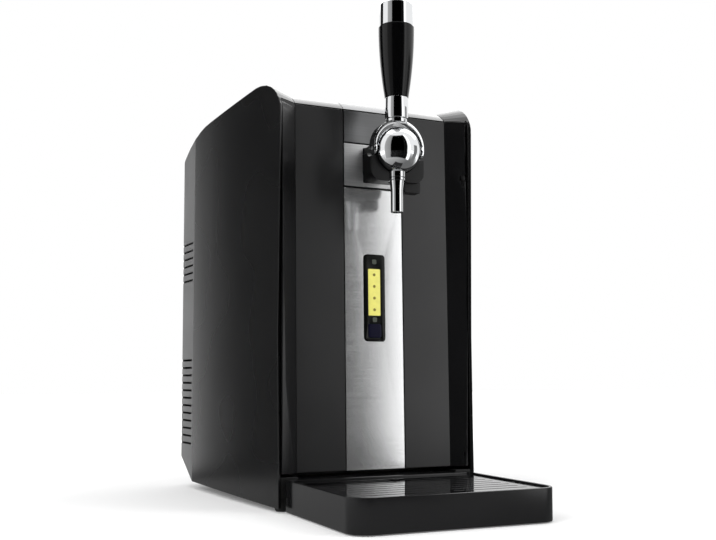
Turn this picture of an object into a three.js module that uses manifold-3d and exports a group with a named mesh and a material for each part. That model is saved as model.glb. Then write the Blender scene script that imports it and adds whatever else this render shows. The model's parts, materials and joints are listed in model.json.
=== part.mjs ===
// Mini keg beer dispenser: a cooled cabinet for one small keg, with a lever tap on its door,
// a lit display, a lid and a drip tray.
// Millimetres. X runs to the viewer's right, Y to the back and Z up. The origin is on the table,
// under the middle of the whole dispenser.
import * as THREE from 'three';
import { mergeVertices } from 'three/addons/utils/BufferGeometryUtils.js';
import Module from 'manifold-3d';

const wasm = await Module();
wasm.setup();

// Driving dimensions

const overall = { width: 261, depth: 444, height: 494 };
const trayReach = 168; // from the foot of the door's face to the front of the drip tray
const seam = 0.3; // gap between two pieces that touch
const play = 0.5; // gap between two pieces that move past each other
const overrun = 20; // how far a cutting solid runs past what it cuts

const tap = {
  ahead: 48, // centre of the ball, ahead of the foot of the door's face
  height: 348,
  ball: 23.3,
  underDoorTop: 52, // the ball's centre lies this far under the door's top edge
  spoutDrop: 61, // and this far above the spout's end
};

const cabinet = {
  creaseHalf: 107, // half the width at the front creases
  creaseAhead: 11, // the creases stand this far ahead of the door's face
  sideBow: 2.5, // bulge of a side, from straight
  rearCornerRadius: 10,
  wall: 3,
  bottom: 14, // underside of the base pan above the table
  lowFront: 4, // lower edge of the shells at the front creases
  lowRear: 8.5, // and where they meet the rear housing
  ridgeRise: 22, // highest line of the shells, above the door's top edge
  shoulderRun: 56,
  shoulderRise: 37,
  roofFall: 5, // how far the ridge falls from the shoulder to the rear curve
  rearCurveRun: 104,
  rearCurveDrop: 33,
  housingDepth: 51, // depth of the rear housing
  undersideRise: 32, // how far the rear housing's underside rises to the back
};

const door = {
  panelHalf: 85, // half the width of the flat face between the bevels
  bottom: 36,
  top: tap.height + tap.underDoorTop,
  lean: 8, // how far the top of the face stands behind its foot
  back: 27, // the moulding's rear edge is this far behind the face's foot
  wall: 3,
  sideTaper: 3.5, // how far each side draws in towards the back
  inlay: 1.8, // thickness of the fascias and metal plates
};

const lid = {
  crestRun: 32, // from the door's top edge back to the crest
  crestRise: 14,
  ridgeDrop: 8, // the lid's middle lies this far under the ridge
  wall: 3,
  hingeBehind: 32, // the hinge's axis lies this far behind the start of the rear curve
  barrel: 4.2, // radius of the lid's round rear edge
  bandThickness: 1.2,
};

const lining = { thickness: 2, lift: 0.5 };

const chamber = {
  radius: 97,
  wall: 2.5,
  floor: 50,
  underDoorTop: 12,
  jacketAhead: 4, // from the jacket's rear face to the rear housing
  behind: 4.5, // from the liner to the jacket's rear face
  dish: 7, // depth of the hollow in the door's back
  sinkLift: 36, // the heat sink's middle lies this far above the chamber's
};

const tray = {
  half: 100, // half the width ahead of the cabinet
  tongueHalf: 86, // half the width of the part that goes in under the door
  height: 31,
  clearance: 1,
  engage: 40,
  frontRadius: 19,
  rearRadius: 6,
  wall: 3,
};
const rail = { reach: 2.4, height: 3, lift: 18, length: 34 }; // the tray's runners in the base's arms

// Places that follow from them

const frontY = trayReach - overall.depth / 2;
const backY = overall.depth / 2;
const creaseY = frontY - cabinet.creaseAhead;
const cornerY = backY - cabinet.rearCornerRadius;
const seamY = backY - cabinet.housingDepth;
const crestY = frontY + door.lean + lid.crestRun;
const shoulderEndY = creaseY + cabinet.shoulderRun;
const rearCurveY = backY - cabinet.rearCurveRun;
const ridgeTop = door.top + cabinet.ridgeRise;
const rearCurveZ = ridgeTop - cabinet.roofFall;
const shoulderZ = ridgeTop - cabinet.shoulderRise;
const doorHeight = door.top - door.bottom;
const leanAngle = Math.atan2(door.lean, doorHeight);
const doorBackY = frontY + door.back;
const jacketBackY = seamY - chamber.jacketAhead;
const chamberY = jacketBackY - chamber.behind - chamber.wall - chamber.radius;
const chamberTop = door.top - chamber.underDoorTop;
const dishY = doorBackY - chamber.dish + chamber.radius;

// Solids

const X = new THREE.Vector3(1, 0, 0);
const Y = new THREE.Vector3(0, 1, 0);
const Z = new THREE.Vector3(0, 0, 1);

// A closed geometry as a solid whose faces point out.
function solidOf(geometry) {
  const bare = geometry.clone();
  for (const name of Object.keys(bare.attributes)) {
    if (name !== 'position') bare.deleteAttribute(name);
  }
  const merged = mergeVertices(bare);
  const vertProperties = new Float32Array(merged.attributes.position.array);
  const triVerts = new Uint32Array(merged.index.array);
  const make = () => new wasm.Manifold(new wasm.Mesh({ numProp: 3, vertProperties, triVerts }));
  const made = make();
  if (made.volume() > 0) return made;
  for (let i = 0; i < triVerts.length; i += 3) {
    [triVerts[i + 1], triVerts[i + 2]] = [triVerts[i + 2], triVerts[i + 1]];
  }
  return make();
}

function union(...solids) {
  return solids.reduce((a, b) => a.add(b));
}

function cut(from, ...tools) {
  return tools.reduce((a, b) => a.subtract(b), from);
}

function common(...solids) {
  return solids.reduce((a, b) => a.intersect(b));
}

// A box between two values on each axis.
function box([x0, x1], [y0, y1], [z0, z1]) {
  const geometry = new THREE.BoxGeometry(x1 - x0, y1 - y0, z1 - z0);
  geometry.translate((x0 + x1) / 2, (y0 + y1) / 2, (z0 + z1) / 2);
  return solidOf(geometry);
}

function extrudeOutline(outline, depth) {
  const shape = new THREE.Shape(outline.map(([a, b]) => new THREE.Vector2(a, b)));
  return new THREE.ExtrudeGeometry(shape, { depth, bevelEnabled: false });
}

// Prisms: an outline in X and Y raised along Z, one in Y and Z along X, one in X and Z along Y.
function prismZ(outline, z0, z1) {
  return solidOf(extrudeOutline(outline, z1 - z0).translate(0, 0, z0));
}

function prismX(outline, x0, x1) {
  const turn = new THREE.Matrix4().makeBasis(Y, Z, X);
  return solidOf(extrudeOutline(outline, x1 - x0).applyMatrix4(turn).translate(x0, 0, 0));
}

function prismY(outline, y0, y1) {
  const turn = new THREE.Matrix4().makeBasis(X, Z, Y.clone().negate());
  return solidOf(extrudeOutline(outline, y1 - y0).applyMatrix4(turn).translate(0, y1, 0));
}

function arc(centre, radius, from, to, steps) {
  return Array.from({ length: steps + 1 }, (_, i) => {
    const angle = from + ((to - from) * i) / steps;
    return [centre[0] + radius * Math.cos(angle), centre[1] + radius * Math.sin(angle)];
  });
}

function circle(centre, radius, steps) {
  return arc(centre, radius, 0, 2 * Math.PI, steps).slice(0, steps);
}

// A rectangle with its own radius at each corner, from the low corner round.
function roundedRect([a0, a1], [b0, b1], radii, steps = 4) {
  const [r0, r1, r2, r3] = Array.isArray(radii) ? radii : [radii, radii, radii, radii];
  const quarter = Math.PI / 2;
  return [
    ...arc([a0 + r0, b0 + r0], r0, 2 * quarter, 3 * quarter, steps),
    ...arc([a1 - r1, b0 + r1], r1, 3 * quarter, 4 * quarter, steps),
    ...arc([a1 - r2, b1 - r2], r2, 0, quarter, steps),
    ...arc([a0 + r3, b1 - r3], r3, quarter, 2 * quarter, steps),
  ];
}

// A solid of revolution about Z from a profile of [radius, height] points that ends on the axis.
function lathe(profile, segments = 32) {
  const points = profile.map(([r, z]) => new THREE.Vector2(r, z));
  return solidOf(new THREE.LatheGeometry(points, segments).rotateX(Math.PI / 2));
}

function latheTube(profile, segments = 32) {
  return lathe([...profile, profile[0]], segments);
}

function along(axis, solid) {
  if (axis === X) return solid.rotate([0, 90, 0]);
  if (axis === Y) return solid.rotate([-90, 0, 0]);
  return solid;
}

function rod(axis, radius, from, to, [a, b], segments = 24) {
  const made = along(axis, lathe([[0, from], [radius, from], [radius, to], [0, to]], segments));
  if (axis === X) return made.translate([0, a, b]);
  if (axis === Y) return made.translate([a, 0, b]);
  return made.translate([a, b, 0]);
}

function ball(radius, [x, y, z], segments = 28) {
  const geometry = new THREE.SphereGeometry(radius, segments, segments / 2);
  return solidOf(geometry.rotateX(Math.PI / 2).translate(x, y, z));
}

// A solid through rings of points, closed at both ends. Every ring is convex.
function loft(rings) {
  const count = rings[0].length;
  const position = rings.flat(2);
  const index = [];
  for (let i = 0; i + 1 < rings.length; i += 1) {
    for (let j = 0; j < count; j += 1) {
      const k = (j + 1) % count;
      const [a, b, c, d] = [i * count + j, i * count + k, (i + 1) * count + k, (i + 1) * count + j];
      index.push(a, b, c, a, c, d);
    }
  }
  const last = (rings.length - 1) * count;
  for (let j = 1; j + 1 < count; j += 1) {
    index.push(0, j + 1, j);
    index.push(last, last + j, last + j + 1);
  }
  const geometry = new THREE.BufferGeometry();
  geometry.setAttribute('position', new THREE.Float32BufferAttribute(position, 3));
  geometry.setIndex(index);
  return solidOf(geometry);
}

// A closed outline, listed anticlockwise, moved in by a distance.
function insetOutline(outline, distance) {
  const count = outline.length;
  return outline.map((point, i) => {
    const before = outline[(i + count - 1) % count];
    const after = outline[(i + 1) % count];
    const normalOf = (p, q) => new THREE.Vector2(p[1] - q[1], q[0] - p[0]).normalize();
    const n0 = normalOf(before, point);
    const n1 = normalOf(point, after);
    const scale = distance / (1 + n0.dot(n1));
    return [point[0] + (n0.x + n1.x) * scale, point[1] + (n0.y + n1.y) * scale];
  });
}

function mirrorX(solid) {
  return solid.mirror([1, 0, 0]);
}

// Finishes

function finish(color, roughness, metalness = 0) {
  return () => new THREE.MeshStandardMaterial({ color, roughness, metalness });
}

const shellGrey = finish(0x2b2b2d, 0.5);
const gloss = finish(0x141415, 0.18);
const fasciaGrey = finish(0x333335, 0.4);
const blackPlastic = finish(0x111112, 0.5);
const innerPlastic = finish(0x8d9092, 0.5);
const foam = finish(0xe6dfc8, 0.95);
const brushed = finish(0xb9bbbc, 0.3, 1);
const chrome = finish(0xe3e5e7, 0.08, 1);
const steel = finish(0x9a9da0, 0.35, 1);
const aluminium = finish(0xb4b7ba, 0.4, 1);
const rubber = finish(0x1a1a1a, 0.9);
const board = finish(0x1d5a34, 0.6);
const ceramic = finish(0xe9e9e6, 0.7);
const lit = finish(0xf2e33a, 0.25);

const dispenser = new THREE.Group();

// A named piece with its own geometry and material, in a group.
function piece(group, name, solid, look) {
  const data = solid.getMesh();
  const geometry = new THREE.BufferGeometry();
  geometry.setAttribute('position', new THREE.BufferAttribute(new Float32Array(data.vertProperties), 3));
  geometry.setIndex(new THREE.BufferAttribute(new Uint32Array(data.triVerts), 1));
  const mesh = new THREE.Mesh(geometry, look());
  mesh.name = name;
  group.add(mesh);
  return mesh;
}

// The body: sides that widen to the back, a ridge along each side, and a trough between the ridges
// whose floor is the door's face, then the lid.

const sideSteps = 8;
const cornerSteps = 4;
const shoulderSteps = 7;
const rearSteps = 6;

function halfWidthAt(y) {
  const t = (y - creaseY) / (cornerY - creaseY);
  const straight = THREE.MathUtils.lerp(cabinet.creaseHalf, overall.width / 2, t);
  return straight + cabinet.sideBow * 4 * t * (1 - t);
}

function sidePoints(inset, from, to) {
  const steps = Math.max(1, Math.round((sideSteps * (to - from)) / (cornerY - creaseY)));
  return Array.from({ length: steps + 1 }, (_, i) => {
    const y = THREE.MathUtils.lerp(from, to, i / steps);
    return [halfWidthAt(y) - inset, y];
  });
}

function bothSides(right) {
  return [...right, ...right.map(([x, y]) => [-x, y]).reverse()];
}

// The space between the sides, moved in from them, from one depth to another.
function span(inset, [y0, y1], [z0, z1]) {
  return prismZ(bothSides(sidePoints(inset, y0, y1)), z0, z1);
}

const planOutline = bothSides([
  ...sidePoints(0, creaseY, cornerY).slice(0, -1),
  ...arc(
    [overall.width / 2 - cabinet.rearCornerRadius, cornerY],
    cabinet.rearCornerRadius,
    0,
    Math.PI / 2,
    cornerSteps,
  ),
]);

const rearRadius = (cabinet.rearCurveRun ** 2 + cabinet.rearCurveDrop ** 2) / (2 * cabinet.rearCurveDrop);
const rearAngle = Math.asin(cabinet.rearCurveRun / rearRadius);

function shoulderPoint(angle) {
  return [
    shoulderEndY + cabinet.shoulderRun * Math.cos(angle),
    shoulderZ + cabinet.shoulderRise * Math.sin(angle),
  ];
}

function shoulderNormal(angle) {
  return new THREE.Vector2(
    cabinet.shoulderRise * Math.cos(angle),
    cabinet.shoulderRun * Math.sin(angle),
  ).normalize();
}

function rearZAt(y) {
  return rearCurveZ - rearRadius + Math.sqrt(rearRadius ** 2 - (y - rearCurveY) ** 2);
}

function rearPoint(angle) {
  return [rearCurveY + rearRadius * Math.sin(angle), rearCurveZ - rearRadius * (1 - Math.cos(angle))];
}

const spread = (from, to, steps) => Array.from(
  { length: steps + 1 },
  (_, i) => from + ((to - from) * i) / steps,
);

const profileOutline = [
  [creaseY, cabinet.lowFront],
  [seamY, cabinet.lowRear],
  [backY, cabinet.lowRear + cabinet.undersideRise],
  ...spread(rearAngle, 0, rearSteps).map(rearPoint),
  ...spread(Math.PI / 2, Math.PI, shoulderSteps).map(shoulderPoint),
];

function faceY(z) {
  return frontY + (door.lean * (z - door.bottom)) / doorHeight;
}

// Stations of the trough, each with a ridge point, a floor point and the way out of each.
function troughStations() {
  const faceOut = new THREE.Vector2(-Math.cos(leanAngle), Math.sin(leanAngle));
  const ahead = new THREE.Vector2(-1, 0);
  const up = new THREE.Vector2(0, 1);
  const crestRadius = (lid.crestRun ** 2 + lid.crestRise ** 2) / (2 * lid.crestRise);
  const crestStart = Math.PI / 2 + Math.asin(lid.crestRun / crestRadius);
  const crestZ = door.top + lid.crestRise;
  const splitAngle = Math.PI - Math.asin((door.top - shoulderZ) / cabinet.shoulderRise);
  const stations = [];
  for (const z of [-overrun, shoulderZ]) {
    stations.push({ ridge: [creaseY, z], out: ahead, floor: [faceY(z), z], floorOut: faceOut });
  }
  for (const angle of [(Math.PI * 2 + splitAngle) / 3, (Math.PI + splitAngle * 2) / 3]) {
    const ridge = shoulderPoint(angle);
    stations.push(
      { ridge, out: shoulderNormal(angle), floor: [faceY(ridge[1]), ridge[1]], floorOut: faceOut },
    );
  }
  spread(0, 1, shoulderSteps).forEach((t, i) => {
    const angle = THREE.MathUtils.lerp(splitAngle, Math.PI / 2, t);
    const crest = THREE.MathUtils.lerp(crestStart, Math.PI / 2, t);
    const crestOut = new THREE.Vector2(Math.cos(crest), Math.sin(crest));
    const meet = faceOut.clone().add(crestOut).divideScalar(1 + faceOut.dot(crestOut));
    stations.push({
      ridge: shoulderPoint(angle),
      out: shoulderNormal(angle),
      floor: [crestY + crestRadius * crestOut.x, crestZ - crestRadius + crestRadius * crestOut.y],
      floorOut: i === 0 ? meet : crestOut,
    });
  });
  for (const angle of spread(0, rearAngle, rearSteps)) {
    const ridge = rearPoint(angle);
    const out = angle === 0 ? up : new THREE.Vector2(Math.sin(angle), Math.cos(angle));
    stations.push({ ridge, out, floor: [ridge[0], ridge[1] - lid.ridgeDrop], floorOut: out });
  }
  const last = stations[stations.length - 1];
  const onward = ([y, z]) => [y + overrun * Math.cos(rearAngle), z - overrun * Math.sin(rearAngle)];
  stations.push({ ...last, ridge: onward(last.ridge), floor: onward(last.floor) });
  return stations;
}

const stations = troughStations();

function moved([y, z], out, distance) {
  return [y + out.x * distance, z + out.y * distance];
}

function trough(drop) {
  const rings = stations.map(({ ridge, out, floor, floorOut }) => {
    const edge = halfWidthAt(Math.min(ridge[0], cornerY));
    const [ry, rz] = moved(ridge, out, -drop);
    const [fy, fz] = moved(floor, floorOut, -drop);
    const beyond = (edge + overrun - door.panelHalf) / (edge - door.panelHalf);
    const side = [edge + overrun, fy + (ry - fy) * beyond, fz + (rz - fz) * beyond];
    const high = [side[0], ...moved([side[1], side[2]], out, 2 * overrun)];
    const left = ([x, y, z]) => [-x, y, z];
    return [[-door.panelHalf, fy, fz], left(side), left(high), high, side, [door.panelHalf, fy, fz]];
  });
  return loft(rings);
}

// The body with its sides and corners moved in by one distance and its other faces by another.
function bodySolid(inset, drop) {
  const half = overall.width / 2 + overrun;
  const plan = prismZ(insetOutline(planOutline, inset), 0, ridgeTop + overrun);
  return cut(common(plan, prismX(insetOutline(profileOutline, drop), -half, half)), trough(drop));
}

const bodyOuter = bodySolid(0, 0);
const wide = [-overall.width, overall.width];
const tall = [-overrun, ridgeTop + overrun];

// Side shells: a flat side each, and above the door the bevel from the ridge down to the lid

{
  const half = box([0, overall.width], [creaseY - overrun, seamY], tall);
  const side = cut(bodyOuter, span(cabinet.wall, [creaseY - overrun, seamY + overrun], tall));
  const skin = cut(bodyOuter, bodySolid(cabinet.wall, cabinet.wall));
  const roof = box(
    [door.panelHalf + seam / 2, overall.width],
    [creaseY - overrun, seamY],
    [door.top + seam, tall[1]],
  );
  const right = common(union(side, common(skin, roof)), half);
  piece(dispenser, 'side_shell_right', right, shellGrey);
  piece(dispenser, 'side_shell_left', mirrorX(right), shellGrey);
}

// Sizes of the inner frame

const frame = {
  thickness: 6.5, // of the front frame, front to back
  topThickness: 6,
  sealGap: 4.5, // from the door moulding's rear edge to the front frame
};
const frameFrontY = doorBackY + frame.sealGap;
const frameBackY = frameFrontY + frame.thickness;
const baseTop = 33;
const topFrame = { bottom: door.top - frame.topThickness, top: door.top };
const insideGap = cabinet.wall + seam;

// Hinge of the lid: a rod through its round rear edge and through two lugs of the top frame
const lidHinge = { y: rearCurveY + lid.hingeBehind, pin: 1.8, bore: 2.1 };
lidHinge.z = rearZAt(lidHinge.y) - lid.ridgeDrop - lid.barrel;
const lidLug = { inner: 50, outer: 60 };
const lidBackY = lidHinge.y + lid.barrel + play;
const lidRodHalf = door.panelHalf - lid.wall;

// Hinge of the door: an upright axis inside its right edge
const knuckle = 2.6;
const hingeInset = { low: 10, high: 64 };
const doorHinge = {
  x: cabinet.creaseHalf - insideGap - knuckle,
  y: creaseY + 8,
  pin: 1.3,
  bore: 1.6,
  pinLength: 18,
  leaf: 4,
  levels: [door.bottom + hingeInset.low, door.top - hingeInset.high],
};
const doorCorner = halfWidthAt(doorHinge.y) - cabinet.wall - play - doorHinge.x;

// Screws that hold the rear housing
const screw = { head: 4, headHeight: 2.6, shank: 2, length: 18, bore: 2.3, cup: 7, cupDepth: 6 };
const screwInset = { lowerSide: 30.5, upperSide: 35.5, low: 54, underRidge: 50 };
const screwPlaces = {
  lower: [overall.width / 2 - screwInset.lowerSide, screwInset.low],
  upper: [overall.width / 2 - screwInset.upperSide, ridgeTop - screwInset.underRidge],
};
const screwSeatY = backY - cabinet.wall - seam;

// Base pan: a floor with a rim and ribs, two arms past the drip tray, and a raised rear shelf

const base = { floor: 3, rim: 3, armFront: 3, slotBack: 3, shelf: 3.3, shelfInset: 18.5, boss: 6 };
const slotBackY = frontY + tray.engage + base.slotBack;
const shelfTop = cabinet.lowRear + cabinet.undersideRise + cabinet.wall + base.shelf + seam;
const shelfHalf = overall.width / 2 - base.shelfInset;

{
  const bottom = cabinet.bottom;
  const frontEnd = creaseY + base.armFront;
  const webFront = jacketBackY + seam;
  const webBack = seamY - seam;
  const outer = span(insideGap, [frontEnd, webBack], [bottom, baseTop]);
  const hollow = span(
    insideGap + base.rim,
    [slotBackY + base.rim, webFront - base.rim],
    [bottom + base.floor, baseTop + overrun],
  );
  const arm = tray.tongueHalf + seam;
  const slot = box([-arm, arm], [frontEnd - overrun, slotBackY], [bottom - overrun, baseTop + overrun]);
  const track = box(
    [-arm - rail.reach, arm + rail.reach],
    [frontEnd - overrun, slotBackY],
    [tray.clearance + rail.lift - seam, tray.clearance + rail.lift + rail.height + seam],
  );
  const ribs = [];
  const ribTop = baseTop - base.floor;
  const inner = halfWidthAt(slotBackY) - insideGap - base.rim;
  for (const t of [1, 2, 3]) {
    const y = slotBackY + ((webFront - slotBackY) * t) / 4;
    ribs.push(box([-inner, inner], [y, y + base.rim], [bottom, ribTop]));
  }
  for (const side of [-1, 0, 1]) {
    const x = (side * chamber.radius) / 2;
    ribs.push(box([x, x + base.rim], [slotBackY, webFront - seam], [bottom, ribTop - base.floor]));
  }
  const web = box([-shelfHalf, shelfHalf], [webFront, webBack], [bottom, shelfTop]);
  const shelfBack = screwSeatY - screw.cupDepth - seam;
  const shelf = box([-shelfHalf, shelfHalf], [webFront, shelfBack], [shelfTop - base.shelf, shelfTop]);
  const [sx, sz] = screwPlaces.lower;
  const bosses = [-1, 1].map((side) => {
    const x = side * sx;
    const post = box(
      [x - base.boss, x + base.boss],
      [shelfBack - screw.length, shelfBack],
      [shelfTop - base.shelf, sz + base.boss],
    );
    return cut(
      post,
      rod(Y, screw.bore, shelfBack - screw.length + base.rim, shelfBack + overrun, [x, sz], 16),
    );
  });
  const pan = cut(outer, hollow, slot, track);
  piece(dispenser, 'base_pan', union(pan, ...ribs, web, shelf, ...bosses), blackPlastic);
}

// Feet: a round pad under each corner of the base pan

const foot = { radius: 7.2, chamfer: 1.2, frontBehind: 16, frontIn: 8.2, rearAhead: 22, rearIn: 34 };

function footSolid() {
  const top = cabinet.bottom - seam;
  return lathe(
    [[0, 0], [foot.radius - foot.chamfer, 0], [foot.radius, foot.chamfer], [foot.radius, top], [0, top]],
    24,
  );
}

const footPlaces = [
  ['front', creaseY + foot.frontBehind, foot.frontIn],
  ['rear', seamY - foot.rearAhead, foot.rearIn],
];
for (const [place, y, inFromEdge] of footPlaces) {
  for (const [side, sign] of [['left', -1], ['right', 1]]) {
    const mesh = piece(dispenser, `foot_${place}_${side}`, footSolid(), rubber);
    mesh.position.set(sign * (halfWidthAt(y) - insideGap - inFromEdge), y, 0);
  }
}

// Chamber: a round-backed cup that is open to the door and to the lid

function chamberOutline(radius, front) {
  return [[-radius, front], [radius, front], ...arc([0, chamberY], radius, 0, Math.PI, 28)];
}

const linerTop = topFrame.bottom - seam;
const linerFront = frameBackY + seam;
const fitting = { x: -50, underTop: 43, radius: 5, bore: 2, reach: 6, tail: 11 };
const fittingZ = chamberTop - fitting.underTop;
const sinkZ = (chamber.floor + chamberTop) / 2 + chamber.sinkLift;

{
  const outer = prismZ(
    chamberOutline(chamber.radius + chamber.wall, linerFront),
    chamber.floor - chamber.wall,
    linerTop,
  );
  const inner = prismZ(
    chamberOutline(chamber.radius, linerFront - overrun),
    chamber.floor,
    linerTop + overrun,
  );
  const port = rod(Y, fitting.radius + seam, chamberY, backY, [fitting.x, fittingZ]);
  piece(dispenser, 'chamber_liner', cut(outer, inner, port), innerPlastic);
}

// Cold side: a plate that hugs the liner, the thermoelectric module, the sink and its fan

const cold = { half: 36, tall: 62, depth: 13, module: 20, moduleThickness: 4 };
const sink = { half: 55, tall: 65, base: 5, finLength: 14, fins: 13, fin: 1.6 };
const coldBackY = jacketBackY + seam;
const moduleBackY = coldBackY + seam + cold.moduleThickness;
const sinkBaseY = moduleBackY + seam;
const finBackY = sinkBaseY + sink.base + sink.finLength;

{
  const around = chamber.radius + chamber.wall + seam;
  const block = box(
    [-cold.half, cold.half],
    [coldBackY - cold.depth, coldBackY],
    [sinkZ - cold.tall, sinkZ + cold.tall],
  );
  const plate = cut(
    block,
    prismZ(chamberOutline(around, linerFront), sinkZ - cold.tall - overrun, sinkZ + cold.tall + overrun),
  );
  piece(dispenser, 'cold_plate', plate, aluminium);
  piece(
    dispenser,
    'thermoelectric_module',
    box(
      [-cold.module, cold.module],
      [coldBackY + seam, moduleBackY],
      [sinkZ - cold.module, sinkZ + cold.module],
    ),
    ceramic,
  );
  const fins = Array.from({ length: sink.fins }, (_, i) => {
    const x = THREE.MathUtils.lerp(-sink.half, sink.half - sink.fin, i / (sink.fins - 1));
    return box([x, x + sink.fin], [sinkBaseY, finBackY], [sinkZ - sink.tall, sinkZ + sink.tall]);
  });
  const plateSink = box(
    [-sink.half, sink.half],
    [sinkBaseY, sinkBaseY + sink.base],
    [sinkZ - sink.tall, sinkZ + sink.tall],
  );
  piece(dispenser, 'heat_sink', union(plateSink, ...fins), aluminium);
}

{
  const jacketGap = insideGap + seam;
  const block = span(jacketGap, [linerFront, jacketBackY], [baseTop + seam, linerTop]);
  const around = chamber.radius + chamber.wall + seam;
  const cup = prismZ(
    chamberOutline(around, linerFront - overrun),
    chamber.floor - chamber.wall - seam,
    linerTop + overrun,
  );
  const window = box(
    [-cold.half - seam, cold.half + seam],
    [chamberY, jacketBackY + overrun],
    [sinkZ - cold.tall - seam, sinkZ + cold.tall + seam],
  );
  const port = rod(Y, fitting.radius + seam, chamberY, backY, [fitting.x, fittingZ]);
  piece(dispenser, 'foam_jacket', cut(block, cup, window, port), foam);
}

// Fan: a square frame with a round duct and three struts, and a rotor on its hub

const fan = {
  half: 46,
  duct: 43.5,
  corner: 5,
  hub: 15,
  blade: 42.3,
  blades: 7,
  strut: 3,
  strutDepth: 2.6,
  seat: 13,
  twist: 35,
  bladeThickness: 1.6,
  chord: 0.8,
};
const fanFrontY = finBackY + seam;
const fanBackY = backY - cabinet.wall - seam;

{
  const group = new THREE.Group();
  group.position.set(0, fanFrontY, sinkZ);
  dispenser.add(group);
  const depth = fanBackY - fanFrontY;
  const strutFront = depth - fan.strutDepth;
  const outer = prismY(roundedRect([-fan.half, fan.half], [-fan.half, fan.half], fan.corner), 0, depth);
  const struts = [0, 1, 2].map((i) =>
    box([0, fan.duct + play], [strutFront, depth], [-fan.strut / 2, fan.strut / 2]).rotate(
      [0, (360 * i) / 3 + 30, 0],
    ),
  );
  const seat = rod(Y, fan.seat, strutFront, depth, [0, 0], 24);
  const ring = cut(outer, rod(Y, fan.duct, -overrun, depth + overrun, [0, 0], 48));
  piece(group, 'fan_frame', union(ring, seat, ...struts), blackPlastic);

  const rotorFront = play;
  const rotorBack = strutFront - play;
  const hub = rod(Y, fan.hub, rotorFront, rotorBack, [0, 0], 28);
  const chord = (rotorBack - rotorFront) * fan.chord;
  const middle = (rotorFront + rotorBack) / 2;
  const blade = box(
    [fan.hub - play, fan.blade],
    [-chord / 2, chord / 2],
    [-fan.bladeThickness / 2, fan.bladeThickness / 2],
  )
    .rotate([fan.twist, 0, 0])
    .translate([0, middle, 0]);
  const blades = Array.from(
    { length: fan.blades },
    (_, i) => blade.rotate([0, (360 * i) / fan.blades, 0]),
  );
  const rim = rod(Y, fan.blade, rotorFront, rotorBack, [0, 0], 48);
  piece(group, 'fan_rotor', union(hub, ...blades.map((b) => common(b, rim))), blackPlastic);
}

// Air pump on the rear shelf, the hose up behind the jacket, and the fitting into the chamber

const pump = {
  x: -62,
  behind: 26,
  radius: 17,
  height: 52,
  foot: 21,
  footThickness: 3,
  nozzle: 3,
  nozzleHeight: 8,
  waist: 14,
};
const pumpY = jacketBackY + pump.behind;
const hose = { radius: 3, bend: 24 };

{
  const z0 = shelfTop + seam;
  const z1 = z0 + pump.footThickness;
  const top = z0 + pump.height;
  const waistZ = (z1 + top) / 2;
  const bodyProfile = [
    [0, z0],
    [pump.foot, z0],
    [pump.foot, z1],
    [pump.radius, z1],
    [pump.radius, waistZ - pump.footThickness],
    [pump.waist, waistZ],
    [pump.radius, waistZ + pump.footThickness],
    [pump.radius, top - pump.footThickness],
    [pump.waist, top],
    [pump.nozzle, top],
    [pump.nozzle, top + pump.nozzleHeight],
    [0, top + pump.nozzleHeight],
  ];
  const mesh = piece(dispenser, 'air_pump', lathe(bodyProfile, 28), blackPlastic);
  mesh.position.set(pump.x, pumpY, 0);

  const hoseStart = top + pump.nozzleHeight + seam;
  const hoseEndY = jacketBackY + fitting.tail + seam;
  const path = new THREE.CurvePath();
  const corner = new THREE.Vector3(pump.x, pumpY, fittingZ - hose.bend);
  path.add(new THREE.LineCurve3(new THREE.Vector3(pump.x, pumpY, hoseStart), corner));
  path.add(
    new THREE.CubicBezierCurve3(
      corner,
      new THREE.Vector3(pump.x, pumpY, fittingZ),
      new THREE.Vector3(fitting.x, pumpY, fittingZ),
      new THREE.Vector3(fitting.x, hoseEndY, fittingZ),
    ),
  );
  const section = new THREE.Shape(
    circle([0, 0], hose.radius, 8).map(([a, b]) => new THREE.Vector2(a, b)),
  );
  const tube = new THREE.ExtrudeGeometry(section, { steps: 30, extrudePath: path, bevelEnabled: false });
  piece(dispenser, 'air_hose', solidOf(tube), rubber);

  const inside = chamberY + Math.sqrt(chamber.radius ** 2 - fitting.x ** 2) - fitting.reach;
  const nipple = rod(Y, fitting.radius, inside, hoseEndY - seam, [fitting.x, fittingZ]);
  const bore = rod(Y, fitting.bore, inside - overrun, hoseEndY + overrun, [fitting.x, fittingZ], 16);
  piece(dispenser, 'air_fitting', cut(nipple, bore), steel);
}

// Control board on the back of the jacket

const control = {
  fromSide: 12.4,
  width: 54,
  bottom: 75,
  top: 175,
  thickness: 1.6,
  can: 7,
  canHeight: 16,
  block: 22,
  blockDepth: 20,
};

{
  const y0 = jacketBackY + seam;
  const y1 = y0 + control.thickness;
  const right = halfWidthAt(jacketBackY) - control.fromSide;
  const left = right - control.width;
  const middle = (left + right) / 2;
  const plate = box([left, right], [y0, y1], [control.bottom, control.top]);
  const cans = [1, 2].map((t) => {
    const z = THREE.MathUtils.lerp(control.bottom, control.top, (t + 1) / 4);
    return rod(Y, control.can, y0, y1 + control.canHeight, [middle - control.can, z], 20);
  });
  const low = control.bottom + control.can;
  const block = box(
    [middle - control.block / 2, middle + control.block / 2],
    [y0, y1 + control.blockDepth],
    [low, low + control.block],
  );
  piece(dispenser, 'control_board', union(plate, block, ...cans), board);
}

// Front frame round the chamber's opening, and above it the top frame with the plate that the
// magnetic door seal pulls to

{
  const plate = span(insideGap, [frameFrontY, frameBackY], [baseTop + seam, linerTop]);
  const opening = box(
    [-chamber.radius, chamber.radius],
    [frameFrontY - overrun, frameBackY + overrun],
    [chamber.floor, chamberTop],
  );
  piece(dispenser, 'front_frame', cut(plate, opening), blackPlastic);
}

const strike = { left: -60, right: -40, depth: 2.7, half: 2 };
const strikeZ = (topFrame.bottom + topFrame.top) / 2;

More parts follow.
